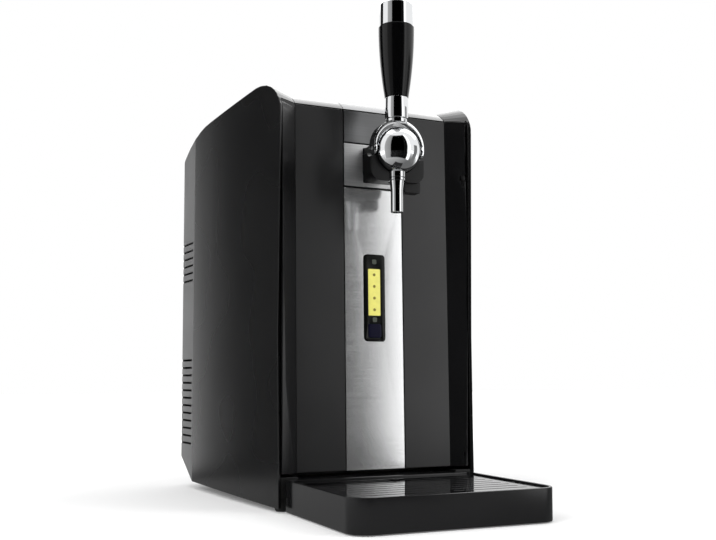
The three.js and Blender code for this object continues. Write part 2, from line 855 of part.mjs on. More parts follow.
{
  const rim = span(insideGap, [frameFrontY, jacketBackY + cabinet.wall], [topFrame.bottom, topFrame.top]);
  const mouth = prismZ(
    chamberOutline(chamber.radius, frameBackY),
    topFrame.bottom - overrun,
    topFrame.top + overrun,
  );
  const [ux, uz] = screwPlaces.upper;
  const armBack = screwSeatY - screw.cupDepth - seam;
  const arms = [];
  const holes = [];
  for (const side of [-1, 1]) {
    const x = side * ux;
    const across = [x - base.boss, x + base.boss];
    arms.push(
      box(
        across,
        [jacketBackY + seam, jacketBackY + cabinet.wall + seam],
        [uz - base.boss, topFrame.top],
      ),
    );
    arms.push(box(across, [jacketBackY + seam, armBack], [uz - base.boss, uz + base.boss]));
    holes.push(rod(Y, screw.bore, armBack - screw.length, armBack + overrun, [x, uz], 16));
  }
  const lugs = [];
  for (const side of [-1, 1]) {
    const ends = [side * lidLug.inner, side * lidLug.outer].sort((a, b) => a - b);
    const eye = rod(X, lid.barrel, ends[0], ends[1], [lidHinge.y, lidHinge.z], 24);
    const stem = box(
      ends,
      [lidHinge.y - lid.barrel, lidHinge.y + lid.barrel],
      [topFrame.bottom, lidHinge.z],
    );
    lugs.push(
      cut(
        union(eye, stem),
        rod(X, lidHinge.bore, ends[0] - play, ends[1] + play, [lidHinge.y, lidHinge.z], 20),
      ),
    );
  }
  const groove = rod(X, lid.barrel + play, -door.panelHalf, door.panelHalf, [lidHinge.y, lidHinge.z], 24);
  holes.push(
    box(
      [strike.left - seam, strike.right + seam],
      [frameFrontY - overrun, frameFrontY + strike.depth + seam],
      [strikeZ - strike.half - seam, strikeZ + strike.half + seam],
    ),
  );
  piece(
    dispenser,
    'top_frame',
    cut(union(cut(rim, mouth, groove), ...arms, ...lugs), ...holes),
    blackPlastic,
  );
  piece(
    dispenser,
    'door_strike',
    box(
      [strike.left, strike.right],
      [frameFrontY, frameFrontY + strike.depth],
      [strikeZ - strike.half, strikeZ + strike.half],
    ),
    steel,
  );
}

piece(
  dispenser,
  'lid_hinge_rod',
  rod(X, lidHinge.pin, -lidRodHalf, lidRodHalf, [lidHinge.y, lidHinge.z], 20),
  steel,
);

// Rear housing: a deep cover with corner louvres on both sides, a fan grille and a recess for the inlet

const louvre = {
  pitch: 8.8,
  slot: 2.4,
  lowerFrom: 50,
  lowerCount: 12,
  upperUnderRidge: 181,
  upperCount: 6,
  run: 36, // along the side, up to the rear corner
  round: 5, // round the corner
  wrap: 18.5, // from the side into the back
};
const grille = { half: 42, pitch: 8.8, slot: 4.4, count: 10 };
const inlet = {
  fromSide: 52.5,
  z: 66,
  half: 14,
  tall: 10.5,
  flange: 3,
  flangeDepth: 2.2,
  depth: 18,
  pin: 1.2,
  pinGap: 5,
  cavity: 12,
};
const inletX = overall.width / 2 - inlet.fromSide;

{
  const region = box(wide, [seamY + seam, backY + overrun], tall);
  const overLid = box(
    [-door.panelHalf + seam, door.panelHalf - seam],
    [lidBackY, seamY + overrun],
    [topFrame.top + seam, tall[1]],
  );
  const skin = common(cut(bodyOuter, bodySolid(cabinet.wall, cabinet.wall)), union(region, overLid));
  const cuts = [];
  const rows = [
    ...Array.from({ length: louvre.lowerCount }, (_, i) => louvre.lowerFrom + i * louvre.pitch),
    ...Array.from(
      { length: louvre.upperCount },
      (_, i) => ridgeTop - louvre.upperUnderRidge + i * louvre.pitch,
    ),
  ];
  for (const z of rows) {
    for (const side of [-1, 1]) {
      const inner = overall.width / 2 - louvre.wrap;
      const reach = [side * inner, side * overall.width].sort((a, b) => a - b);
      cuts.push(box(reach, [cornerY - louvre.run, cornerY + louvre.round], [z, z + louvre.slot]));
    }
  }
  for (let i = 0; i < grille.count; i += 1) {
    const z = sinkZ + (i - (grille.count - 1) / 2) * grille.pitch;
    cuts.push(
      box(
        [-grille.half, grille.half],
        [cornerY, backY + overrun],
        [z - grille.slot / 2, z + grille.slot / 2],
      ),
    );
  }
  const places = [screwPlaces.lower, screwPlaces.upper].flatMap(([x, z]) => [[-x, z], [x, z]]);
  const cups = places.map(
    (at) => rod(Y, screw.cup, screwSeatY - screw.cupDepth, backY - cabinet.wall + seam, at, 24),
  );
  for (const at of places) {
    cuts.push(rod(Y, screw.head + seam, screwSeatY - screw.headHeight, backY + overrun, at, 24));
    cuts.push(rod(Y, screw.bore, screwSeatY - overrun, backY, at, 16));
  }
  const hx = [inletX - inlet.half - seam, inletX + inlet.half + seam];
  const hz = [inlet.z - inlet.tall - seam, inlet.z + inlet.tall + seam];
  cuts.push(box(hx, [cornerY, backY + overrun], hz));
  piece(dispenser, 'rear_housing', cut(union(skin, ...cups), ...cuts), blackPlastic);
  places.forEach(([x, z], i) => {
    const seat = screwSeatY - screw.headHeight + seam;
    const head = rod(Y, screw.head, seat, seat + screw.headHeight, [x, z], 24);
    const shank = rod(Y, screw.shank, seat - screw.length, seat + seam, [x, z], 16);
    const recess = box(
      [x - screw.shank, x + screw.shank],
      [seat + screw.headHeight / 2, backY],
      [z - play, z + play],
    );
    piece(dispenser, `housing_screw_${i + 1}`, cut(union(head, shank), recess), steel);
  });
}

{
  const x = [inletX - inlet.half, inletX + inlet.half];
  const z = [inlet.z - inlet.tall, inlet.z + inlet.tall];
  const shell = box(x, [backY - inlet.depth, backY - seam], z);
  const pocket = box(
    [x[0] + inlet.flange, x[1] - inlet.flange],
    [backY - inlet.cavity, backY + overrun],
    [z[0] + inlet.flange, z[1] - inlet.flange],
  );
  const pins = [-1, 1].map((side) =>
    rod(
      Y,
      inlet.pin,
      backY - inlet.depth,
      backY - inlet.flange,
      [inletX + side * inlet.pinGap, inlet.z],
      12,
    ),
  );
  piece(dispenser, 'mains_inlet', union(cut(shell, pocket), ...pins), blackPlastic);
}

// Door brackets and pins

{
  const { x, y, leaf, levels } = doorHinge;
  const lapFront = doorBackY + play;
  levels.forEach((level, i) => {
    const name = ['lower', 'upper'][i];
    const eye = rod(Z, knuckle, level, level + leaf, [x, y], 24);
    const strap = box([x, x + knuckle], [y, frameFrontY - seam], [level, level + leaf]);
    const lap = box(
      [x, x + 2 * knuckle],
      [lapFront, frameFrontY - seam],
      [level - leaf, level + 2 * leaf],
    );
    const bore = rod(Z, doorHinge.bore, level - overrun, level + overrun, [x, y], 20);
    piece(dispenser, `hinge_bracket_${name}`, cut(union(eye, strap, lap), bore), steel);
    const middle = level + leaf / 2;
    const half = doorHinge.pinLength / 2;
    piece(
      dispenser,
      `hinge_pin_${name}`,
      rod(Z, doorHinge.pin, middle - half, middle + half, [x, y], 20),
      steel,
    );
  });
}

// Door. Its face pieces are placed in a group that leans with the face: x across, y into the door, z up it.

const faceGroup = new THREE.Group();
faceGroup.position.set(0, frontY, door.bottom);
faceGroup.rotation.x = -leanAngle;
dispenser.add(faceGroup);

const tapPlate = { below: 27.5, above: 18, slack: 1 };
const metal = {
  half: 32,
  groove: 1.2, // to the fascias
  lowGap: 2.4, // under the tap plate
  highGap: 1.4, // over it
  tapBottom: tap.height - door.bottom - tapPlate.below,
  tapTop: tap.height - door.bottom + tapPlate.above,
  top: doorHeight - seam * 2,
};
const display = { half: 11.7, bottom: 128, top: 216, radius: 4, proud: 0.8, openingHalf: 9.6 };
const lens = { half: 6.7, bottom: 154, top: 201.5, proud: 0.3, lip: 0.8 };
const button = { half: 7.2, bottom: 131.5, top: 145.5, radius: 2, proud: 1.2, travel: 1, depth: 3 };
const recessDepth = door.inlay + seam;
const neck = { half: 10.5, below: 21, above: 13, shank: 7.8, bore: 8.1, back: 38, thread: 2 };
const neckLow = tap.height - neck.below;
const neckHigh = tap.height + neck.above;

// A solid in the face's own coordinates, as it stands in the world.
function onFace(solid) {
  return solid.rotate([THREE.MathUtils.radToDeg(-leanAngle), 0, 0]).translate([0, frontY, door.bottom]);
}

function sideTaper(inset) {
  const outer = doorHinge.x + knuckle - inset;
  const inner = outer - door.sideTaper;
  const bend = creaseY + knuckle * 2;
  return [
    [-outer, creaseY - overrun],
    [outer, creaseY - overrun],
    [outer, bend],
    [inner, doorBackY + seam],
    [-inner, doorBackY + seam],
    [-outer, bend],
  ];
}

const hingeColumn = {
  x: [doorHinge.x - knuckle, doorHinge.x + knuckle],
  y: [creaseY, doorHinge.y + knuckle],
};

function bracketSlots(clearance) {
  return doorHinge.levels.map((level) =>
    box(
      [doorHinge.x - knuckle - clearance, overall.width],
      [doorHinge.y - knuckle - clearance, frameFrontY],
      [level - clearance, level + doorHinge.leaf + clearance],
    ),
  );
}

{
  const z0 = door.bottom;
  const z1 = door.top - seam;
  const block = common(
    bodyOuter,
    prismZ(sideTaper(0), z0, z1),
    box(wide, [creaseY - overrun, doorBackY], tall),
  );
  const depth = recessDepth + door.wall;
  const hollow = common(
    bodySolid(0, depth),
    prismZ(sideTaper(door.wall), z0 + door.wall, z1 - door.wall),
    box(wide, [creaseY - overrun, doorBackY + overrun], tall),
  );
  const recess = onFace(
    box([-door.panelHalf, door.panelHalf], [-overrun, recessDepth], [-overrun, doorHeight + overrun]),
  );
  const column = common(block, box(hingeColumn.x, hingeColumn.y, [z0, z1]));
  const land = box([door.panelHalf, overall.width], [creaseY - overrun, doorHinge.y - doorCorner], tall);
  const cornerBlock = box([doorHinge.x, overall.width], [creaseY - overrun, doorHinge.y], tall);
  const corner = cut(
    cornerBlock,
    rod(Z, doorCorner, -overrun, door.top + overrun, [doorHinge.x, doorHinge.y], 32),
  );
  const bore = rod(Z, doorHinge.bore, -overrun, door.top + overrun, [doorHinge.x, doorHinge.y], 20);
  const windowOpening = onFace(
    box(
      [-display.openingHalf, display.openingHalf],
      [-overrun, overrun],
      [display.bottom + door.wall, display.top - door.wall],
    ),
  );
  const tapHole = box(
    [-neck.half - seam, neck.half + seam],
    [creaseY - overrun, doorBackY - overrun / 2],
    [neckLow - seam, neckHigh + seam],
  );
  const shell = cut(
    union(cut(block, hollow), column),
    recess,
    land,
    corner,
    windowOpening,
    tapHole,
    ...bracketSlots(play),
  );
  const pinEnds = doorHinge.pinLength / 2 + play;
  const bores = doorHinge.levels.map((level) => {
    const middle = level + doorHinge.leaf / 2;
    return common(bore, box(wide, wide, [middle - pinEnds, middle + pinEnds]));
  });
  piece(dispenser, 'door_shell', cut(shell, ...bores), shellGrey);

  // Foam in the door, hollowed for the display board and the tap's shank
  const foamDepth = depth + seam;
  const fill = common(
    bodySolid(0, foamDepth),
    prismZ(sideTaper(door.wall + seam), z0 + door.wall + seam, z1 - door.wall - seam),
    box(wide, [creaseY - overrun, doorBackY], tall),
  );
  const columnSpace = box(
    [hingeColumn.x[0] - seam, overall.width],
    [creaseY - overrun, hingeColumn.y[1] + seam],
    tall,
  );
  const boardHalf = display.half + 2 * seam + door.wall;
  const boardSpace = onFace(
    box(
      [-boardHalf, boardHalf],
      [-overrun, foamDepth + door.wall],
      [display.bottom - door.wall, display.top + door.wall],
    ),
  );
  const tapHalf = neck.half + door.wall;
  const tapSpace = box(
    [-tapHalf, tapHalf],
    [creaseY, doorBackY - door.wall],
    [neckLow - door.wall, neckHigh + door.wall],
  );
  const dishSpace = rod(
    Z,
    chamber.radius + seam + chamber.wall,
    dishZ0() - seam - chamber.wall,
    dishZ1() + seam + chamber.wall,
    [0, dishY],
    72,
  );
  piece(
    dispenser,
    'door_foam',
    cut(fill, columnSpace, boardSpace, tapSpace, dishSpace, ...bracketSlots(2 * play)),
    foam,
  );
}

function dishZ0() {
  return chamber.floor + 2 * chamber.wall;
}

function dishZ1() {
  return chamberTop - 2 * chamber.wall;
}

// Door liner: a flange over the back with a shallow dish that follows the keg

const liner = { half: 99.4, bottom: 37, underTop: 1.4, thickness: 2 };
const seal = { half: 99.4, lip: 2.2, bottom: 47, underTop: 9.6 };

{
  const y0 = doorBackY + seam;
  const y1 = y0 + liner.thickness;
  const flange = box([-liner.half, liner.half], [y0, y1], [liner.bottom, door.top - liner.underTop]);
  const bowl = common(
    rod(
      Z,
      chamber.radius + chamber.wall,
      dishZ0() - chamber.wall,
      dishZ1() + chamber.wall,
      [0, dishY],
      72,
    ),
    box(wide, [creaseY, y1], tall),
  );
  const dish = rod(Z, chamber.radius, dishZ0(), dishZ1(), [0, dishY], 72);
  piece(dispenser, 'door_liner', cut(union(flange, bowl), dish), innerPlastic);
  const sealTop = door.top - seal.underTop;
  const outer = box([-seal.half, seal.half], [y1 + seam, frameFrontY - seam], [seal.bottom, sealTop]);
  const inner = box(
    [-seal.half + seal.lip, seal.half - seal.lip],
    [y0, backY],
    [seal.bottom + seal.lip, sealTop - seal.lip],
  );
  piece(dispenser, 'door_seal', cut(outer, inner), rubber);
}

// Fascias and metal plates on the face

{
  const inlay = [0, door.inlay];
  const top = metal.top;
  const right = box([metal.half + metal.groove, door.panelHalf - seam], inlay, [0, top]);
  piece(faceGroup, 'door_fascia_right', right, fasciaGrey);
  piece(faceGroup, 'door_fascia_left', mirrorX(right), fasciaGrey);
  const strip = box([-metal.half, metal.half], inlay, [0, metal.tapBottom - metal.lowGap / 2]);
  const hole = prismY(
    roundedRect(
      [-display.half - seam, display.half + seam],
      [display.bottom - seam, display.top + seam],
      display.radius,
    ),
    -overrun,
    overrun,
  );
  piece(faceGroup, 'metal_strip', cut(strip, hole), brushed);
  piece(
    faceGroup,
    'upper_plate',
    box([-metal.half, metal.half], inlay, [metal.tapTop + metal.highGap / 2, top]),
    steel,
  );
  const tapSpan = [metal.tapBottom + metal.lowGap / 2, metal.tapTop - metal.highGap / 2];
  const plate = box([-metal.half, metal.half], inlay, tapSpan);
  const neckSpan = [neckLow - door.bottom - tapPlate.slack, neckHigh - door.bottom + tapPlate.slack];
  const neckHole = box([-neck.half - seam, neck.half + seam], [-overrun, overrun], neckSpan);
  piece(faceGroup, 'tap_plate', cut(plate, neckHole), steel);
}

// Display: bezel, lens, board and button

{
  const bezelOuter = prismY(
    roundedRect([-display.half, display.half], [display.bottom, display.top], display.radius),
    -display.proud,
    door.inlay,
  );
  const lensHole = box(
    [-lens.half - seam, lens.half + seam],
    [-overrun, overrun],
    [lens.bottom - seam, lens.top + seam],
  );
  const buttonHole = prismY(
    roundedRect(
      [-button.half - seam, button.half + seam],
      [button.bottom - seam, button.top + seam],
      button.radius,
    ),
    -overrun,
    overrun,
  );
  piece(faceGroup, 'display_bezel', cut(bezelOuter, lensHole, buttonHole), gloss);
  const lensSolid = prismY(
    roundedRect([-lens.half, lens.half], [lens.bottom, lens.top], lens.lip),
    -lens.proud,
    door.inlay,
  );
  piece(faceGroup, 'display_lens', lensSolid, lit);
  const buttonBack = button.depth - button.proud;
  piece(
    faceGroup,
    'display_button',
    prismY(
      roundedRect([-button.half, button.half], [button.bottom, button.top], button.radius),
      -button.proud,
      buttonBack,
    ),
    gloss,
  );
  const boardFront = recessDepth + door.wall + seam;
  const plate = box(
    [-display.half - seam, display.half + seam],
    [boardFront, boardFront + control.thickness],
    [display.bottom, display.top],
  );
  const lcd = box(
    [-lens.half, lens.half],
    [door.inlay + seam, boardFront + seam],
    [lens.bottom + lens.lip, lens.top - lens.lip],
  );
  const switchMiddle = (button.bottom + button.top) / 2;
  const switchFront = buttonBack + button.travel + seam;
  const key = box(
    [-lens.lip * 4, lens.lip * 4],
    [switchFront, boardFront + seam],
    [switchMiddle - lens.lip * 4, switchMiddle + lens.lip * 4],
  );
  piece(faceGroup, 'display_board', union(plate, lcd, key), board);
}

// Tap: group at the centre of the ball

const tapGroup = new THREE.Group();
const tapY = frontY - tap.ahead;
tapGroup.position.set(0, tapY, tap.height);
dispenser.add(tapGroup);

const cradle = {
  half: 29,
  low: 31,
  high: 3,
  front: 2,
  back: 17,
  radius: 10,
  tabInner: 9,
  tabOuter: 27,
  tabLow: 40,
  tabDepth: 11,
  tabRadius: 2,
  edge: 1,
};
const spout = { collar: 8.4, top: 7.2, waist: 6.1, bore: 4.4, flange: 3, seat: 27 };
const yoke = {
  outer: 27,
  outerLift: 2.6,
  inner: 24.7,
  innerLift: 1.1,
  half: 6,
  eye: 6.5,
  legIn: 24.1,
  legOut: 26.6,
  neck: 1,
};
const pivot = { radius: 2, bore: 2.2, inner: 16, outer: 26.4, relief: 8 };
const handle = {
  ferrule: 11.4,
  ferruleShare: 0.1854, // where the ferrule ends, from the yoke to the top of the cap
  gripLow: 11.6,
  gripHigh: 17.5,
  gripShare: 0.792,
  flare: 2,
  cap: 16.7,
  capDome: 3,
  step: 1.2,
};

{
  const neckFront = cradle.back - cradle.edge;
  const neckBack = frontY - tapY + neck.back - door.back;
  const neckBlock = box([-neck.half, neck.half], [neckFront, neckBack], [-neck.below, neck.above]);
  const bowl = prismY(
    roundedRect(
      [-cradle.half, cradle.half],
      [-cradle.low, -cradle.high],
      [cradle.radius, cradle.radius, cradle.edge, cradle.edge],
    ),
    -cradle.front,
    cradle.back,
  );
  const tab = prismY(
    roundedRect(
      [cradle.tabInner, cradle.tabOuter],
      [-cradle.tabLow, -cradle.low + cradle.radius],
      cradle.tabRadius,
    ),
    cradle.front,
    cradle.front + cradle.tabDepth,
  );
  const around = ball(tap.ball + seam, [0, 0, 0]);
  const relief = rod(X, pivot.relief, -overall.width, overall.width, [0, 0], 32);
  const reliefSide = cut(relief, rod(X, pivot.relief + play, -tap.ball, tap.ball, [0, 0], 32));
  const shankBore = rod(Y, neck.bore, 0, neckBack + overrun, [0, 0], 32);
  const spoutSpace = rod(Z, spout.collar + seam, -overall.height, 0, [0, 0], 32);
  piece(
    tapGroup,
    'tap_bracket',
    cut(union(neckBlock, bowl, tab), around, reliefSide, shankBore, spoutSpace),
    blackPlastic,
  );

  const shank = rod(Y, neck.shank, 0, neckBack + neck.thread, [0, 0], 32);
  const boss = rod(Z, spout.collar, -spout.seat, 0, [0, 0], 32);
  const lineBore = rod(Y, spout.bore, 0, neckBack + overrun, [0, 0], 20);
  const dropBore = rod(Z, spout.bore, -spout.seat - overrun, 0, [0, 0], 20);
  const elbow = ball(spout.bore, [0, 0, 0], 16);
  const pinHoles = [-1, 1].map((side) => {
    const ends = [side * (pivot.inner - seam), side * tap.ball * 2].sort((a, b) => a - b);
    return rod(X, pivot.bore, ends[0], ends[1], [0, 0], 20);
  });
  const sphere = ball(tap.ball, [0, 0, 0]);
  piece(
    tapGroup,
    'tap_body',
    cut(union(sphere, shank, boss), lineBore, dropBore, elbow, ...pinHoles),
    chrome,
  );

  const spoutTop = -spout.seat - seam;
  const spoutEnd = -tap.spoutDrop;
  const profile = [
    [spout.bore, spoutTop],
    [spout.collar, spoutTop],
    [spout.collar, spoutTop - spout.flange],
    [spout.top, spoutTop - spout.flange],
    [spout.waist, spoutTop - spout.flange * 4],
    [spout.waist, spoutEnd],
    [spout.bore, spoutEnd],
  ];
  piece(tapGroup, 'spout', latheTube(profile), chrome);
}

// Lever: a hoop over the ball, a ferrule, a grip and a cap

const leverGroup = new THREE.Group();
tapGroup.add(leverGroup);

{
  const outer = circle([0, yoke.outerLift], yoke.outer, 48);
  const inner = circle([0, yoke.innerLift], yoke.inner, 48);
  const hoop = cut(
    prismY(outer, -yoke.half, yoke.half),
    prismY(inner, -overrun, overrun),
    box(wide, wide, [-overall.height, 0]),
  );
  const legs = [-1, 1].map((side) => {
    const ends = [side * yoke.legIn, side * yoke.legOut].sort((a, b) => a - b);
    return rod(X, yoke.eye, ends[0], ends[1], [0, 0], 28);
  });
  const holes = rod(X, pivot.bore, -overall.width, overall.width, [0, 0], 20);
  const neckTop = yoke.outer + yoke.outerLift + yoke.neck;
  const post = rod(Z, handle.ferrule - handle.step, yoke.outer, neckTop, [0, 0], 32);
  piece(leverGroup, 'lever_yoke', cut(union(hoop, ...legs, post), holes), chrome);
  for (const [side, sign] of [['left', -1], ['right', 1]]) {
    const ends = [sign * pivot.inner, sign * pivot.outer].sort((a, b) => a - b);
    piece(tapGroup, `lever_pin_${side}`, rod(X, pivot.radius, ends[0], ends[1], [0, 0], 20), steel);
  }

  const ferruleLow = neckTop + seam;
  const capHigh = overall.height - tap.height;
  const ferruleHigh = THREE.MathUtils.lerp(neckTop, capHigh, handle.ferruleShare);
  const s = handle.step;
  piece(
    leverGroup,
    'lever_ferrule',
    lathe([
      [0, ferruleLow],
      [handle.ferrule - s, ferruleLow],
      [handle.ferrule, ferruleLow + s],
      [handle.ferrule, ferruleHigh - s],
      [handle.ferrule - s, ferruleHigh],
      [0, ferruleHigh],
    ]),
    chrome,
  );
  const gripLow = ferruleHigh + seam;
  const gripHigh = THREE.MathUtils.lerp(neckTop, capHigh, handle.gripShare);
  const gripLength = gripHigh - gripLow;
  const flare = spread(0, 1, 8).map((t) => {
    const wider = THREE.MathUtils.lerp(handle.gripHigh, handle.gripLow, (1 - t) ** handle.flare);
    return [wider, gripLow + gripLength * t];
  });
  piece(leverGroup, 'lever_grip', lathe([[0, gripLow], ...flare, [0, gripHigh]]), gloss);
  const capLow = gripHigh + seam;
  piece(
    leverGroup,
    'lever_cap',
    lathe([
      [0, capLow],
      [handle.cap, capLow],
      [handle.cap, capHigh - handle.capDome],
      [handle.cap - s, capHigh - s],
      [handle.cap - handle.capDome, capHigh],
      [0, capHigh],
    ]),
    chrome,
  );
}

// Lid: the panel between the ridges, with a lining, foam and a metal band over its middle

{
  const z0 = door.top + seam;
  const across = [-door.panelHalf + seam / 2, door.panelHalf - seam / 2];
  const block = common(bodyOuter, box(across, [creaseY - overrun, lidHinge.y], [z0, tall[1]]));
  const barrel = rod(X, lid.barrel, across[0], across[1], [lidHinge.y, lidHinge.z], 24);
  const hollowBack = lidHinge.y - lid.barrel - lid.wall;
  const within = (gap) => box(
    [across[0] + lid.wall + gap, across[1] - lid.wall - gap],
    [creaseY, hollowBack - gap],
    tall,
  );
  const hollow = common(bodySolid(0, lid.wall), within(0));
  const lugSpace = [-1, 1].map((side) => {
    const ends = [side * (lidLug.inner - play), side * (lidLug.outer + play)].sort((a, b) => a - b);
    return box(ends, [lidHinge.y - lid.barrel - play, lidHinge.y + lid.barrel + play], tall);
  });
  const bandSpace = bandSolid(metal.half + seam, -overrun / 4, lid.bandThickness + seam);
  const bore = rod(X, lidHinge.bore, -lidRodHalf - play, lidRodHalf + play, [lidHinge.y, lidHinge.z], 20);
  piece(
    dispenser,
    'lid_cover',
    cut(union(cut(block, hollow), barrel), ...lugSpace, bandSpace, bore),
    shellGrey,
  );
  const band = cut(bandSolid(metal.half, 0, lid.bandThickness), box(wide, wide, [-overrun, z0 + seam]));
  piece(dispenser, 'lid_band', band, steel);

  const liningZ = [z0 + lining.lift, z0 + lining.lift + lining.thickness];
  const inside = common(bodySolid(0, lid.wall + seam), within(seam));
  piece(dispenser, 'lid_lining', common(inside, box(wide, wide, liningZ)), innerPlastic);
  const under = lid.wall + lid.bandThickness + 2 * seam;
  const fillBack = lidHinge.y - lid.hingeBehind;
  const fill = common(
    bodySolid(0, under),
    within(seam),
    box(wide, [creaseY, fillBack], [liningZ[1] + seam, ridgeTop]),
  );
  piece(dispenser, 'lid_foam', fill, foam);
}

// A strip of the trough's floor, over the lid, between two depths under its surface.
function bandSolid(half, from, to) {
  const floorPath = stations.filter(({ floor }) => floor[1] >= door.top - play && floor[0] > frontY);
  const kept = floorPath.filter(({ floor }) => floor[0] < lidHinge.y - lid.barrel - lid.wall);
  const upper = kept.map(({ floor, floorOut }) => moved(floor, floorOut, -from));
  const lower = kept.map(({ floor, floorOut }) => moved(floor, floorOut, -to));
  return prismX([...upper, ...lower.reverse()], -half, half);
}

// Drip tray: a pan with a deck under the door, and a slotted grid

const pan = { floor: 3, ledge: 3, rim: 1.7, grid: 3, gridBackAhead: 6 };
const trayGroup = new THREE.Group();
trayGroup.position.set(0, -overall.depth / 2, tray.clearance);
dispenser.add(trayGroup);

const slot = { pitch: 14, width: 2.8, inner: 7, outer: 82, margin: 14 };

{
  const length = trayReach + tray.engage;
  const height = tray.height - tray.clearance;
  const basinBack = trayReach - cabinet.creaseAhead - pan.gridBackAhead;
  const wideBack = trayReach - cabinet.creaseAhead + base.armFront - play;
  const outline = (inset, back) =>
    roundedRect([-tray.half + inset, tray.half - inset], [inset, back], [
      tray.frontRadius - inset,
      tray.frontRadius - inset,
      tray.rearRadius / 2,
      tray.rearRadius / 2,
    ], 7);
  const tongueFront = basinBack - 3 * tray.rearRadius;
  const tongue = roundedRect(
    [-tray.tongueHalf, tray.tongueHalf],
    [tongueFront, length],
    tray.rearRadius,
    5,
  );
  const outer = union(prismZ(outline(0, wideBack), 0, height), prismZ(tongue, 0, height));
  const gridTop = height - pan.rim;
  const gridBottom = gridTop - pan.grid;
  const well = prismZ(outline(tray.wall, basinBack), gridBottom - seam, height + overrun);
  const basin = prismZ(
    outline(tray.wall + pan.ledge, basinBack - pan.ledge),
    pan.floor,
    height + overrun,
  );
  const under = box(
    [-tray.tongueHalf + tray.wall + pan.ledge, tray.tongueHalf - tray.wall - pan.ledge],
    [basinBack - overrun, length - tray.wall],
    [pan.floor, height - pan.floor],
  );
  const runners = [-1, 1].map((side) => {
    const inner = side * (tray.tongueHalf - tray.wall / 2);
    const across = [inner, side * (tray.tongueHalf + rail.reach)].sort((a, b) => a - b);
    return box(
      across,
      [length - rail.length, length - tray.rearRadius],
      [rail.lift, rail.lift + rail.height],
    );
  });
  piece(trayGroup, 'drip_pan', union(cut(outer, well, basin, under), ...runners), gloss);

  const plate = prismZ(outline(tray.wall + seam, basinBack - seam), gridBottom, gridTop);
  const rows = Math.floor((basinBack - 2 * slot.margin) / slot.pitch);
  const first = (basinBack - (rows - 1) * slot.pitch) / 2;
  const slots = [];
  for (let i = 0; i < rows; i += 1) {
    const y = first + i * slot.pitch;
    for (const side of [-1, 1]) {
      const ends = [side * slot.inner, side * slot.outer].sort((a, b) => a - b);
      slots.push(
        prismZ(
          roundedRect(ends, [y - slot.width / 2, y + slot.width / 2], slot.width / 2, 2),
          -overrun,
          height,
        ),
      );
    }
  }
  piece(trayGroup, 'drip_grid', cut(plate, ...slots), gloss);
}

export default dispenser;
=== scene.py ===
"""Mini keg beer dispenser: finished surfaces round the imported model, and the studio it stands in.

Metres. X runs to the viewer's right, Y to the back and Z up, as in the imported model, which gives
each place and size. Each class below finishes one sub-assembly.
"""

from __future__ import annotations

import json
import logging
import math
from abc import ABC, abstractmethod
from collections.abc import Callable, Iterator, Mapping, Sequence
from contextlib import contextmanager
from dataclasses import dataclass, field
from enum import Enum
from typing import Any

import bmesh
import bpy
from mathutils import Matrix, Vector


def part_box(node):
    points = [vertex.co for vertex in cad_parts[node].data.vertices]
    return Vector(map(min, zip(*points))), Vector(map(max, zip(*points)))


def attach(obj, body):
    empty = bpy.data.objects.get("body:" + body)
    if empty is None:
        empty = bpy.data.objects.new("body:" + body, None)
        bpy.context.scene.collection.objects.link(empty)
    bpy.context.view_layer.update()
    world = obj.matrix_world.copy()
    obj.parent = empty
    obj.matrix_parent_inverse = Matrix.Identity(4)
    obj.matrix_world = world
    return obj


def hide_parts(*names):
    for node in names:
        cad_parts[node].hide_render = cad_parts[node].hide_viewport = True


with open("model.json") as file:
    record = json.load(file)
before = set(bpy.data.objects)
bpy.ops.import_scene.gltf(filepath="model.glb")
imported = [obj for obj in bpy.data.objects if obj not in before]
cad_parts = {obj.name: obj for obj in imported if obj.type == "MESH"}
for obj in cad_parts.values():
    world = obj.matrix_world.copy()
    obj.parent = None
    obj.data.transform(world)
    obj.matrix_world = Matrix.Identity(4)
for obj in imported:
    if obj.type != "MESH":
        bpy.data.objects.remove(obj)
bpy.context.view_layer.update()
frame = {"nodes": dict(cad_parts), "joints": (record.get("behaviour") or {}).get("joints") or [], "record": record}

LOG = logging.getLogger("dispenser")

Socket = bpy.types.NodeSocket
Colour = tuple[float, float, float]
Point = tuple[float, float, float]
Span = tuple[float, float]  # from one number to another
Station = tuple[float, float]  # a turned piece's radius at a height
FaceTest = Callable[[bmesh.types.BMFace], bool]
EdgeTest = Callable[[bmesh.types.BMEdge], bool]

MM = 0.001
MERGE = 0.01 * MM  # points closer than this are one point
FLAT = math.radians(0.1)  # faces that turn less than this are one flat face
CREASE = math.radians(32)  # edges sharper than this stay sharp
FACING = 0.9  # a face looks along an axis from this cosine on
FACE_WEIGHT = 80  # how far the large faces rule the shading
NOISE_MIDDLE = (0.3, 0.7)  # the range that holds most of a noise pattern
MIX_A, MIX_B, MIX_RESULT = 6, 7, 2  # a colour mix's sockets
WHITE = (1, 1, 1, 1)


class Body(str, Enum):
    """The bodies that move apart from each other."""

    CABINET = "cabinet"
    DOOR = "door"
    LEVER = "lever"
    BUTTON = "button"
    LID = "lid"
    TRAY = "tray"
    GRID = "grid"
    ROTOR = "rotor"


class Slot(str, Enum):
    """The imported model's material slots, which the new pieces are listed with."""

    SHELL = "shell_plastic"
    HOUSING = "housing_plastic"
    FASCIA = "fascia"
    GLOSS = "gloss_black"
    BLACK = "black_plastic"
    INNER = "inner_plastic"
    BRUSHED = "brushed_metal"
    DARK_METAL = "dark_metal"
    CHROME = "chrome"
    STEEL = "steel"
    ALUMINIUM = "aluminium"
    CERAMIC = "ceramic"
    BOARD = "circuit_board"
    DISPLAY = "lit_display"
    SEAL = "seal_rubber"
    HOSE = "hose_rubber"
    FOOT = "foot_rubber"


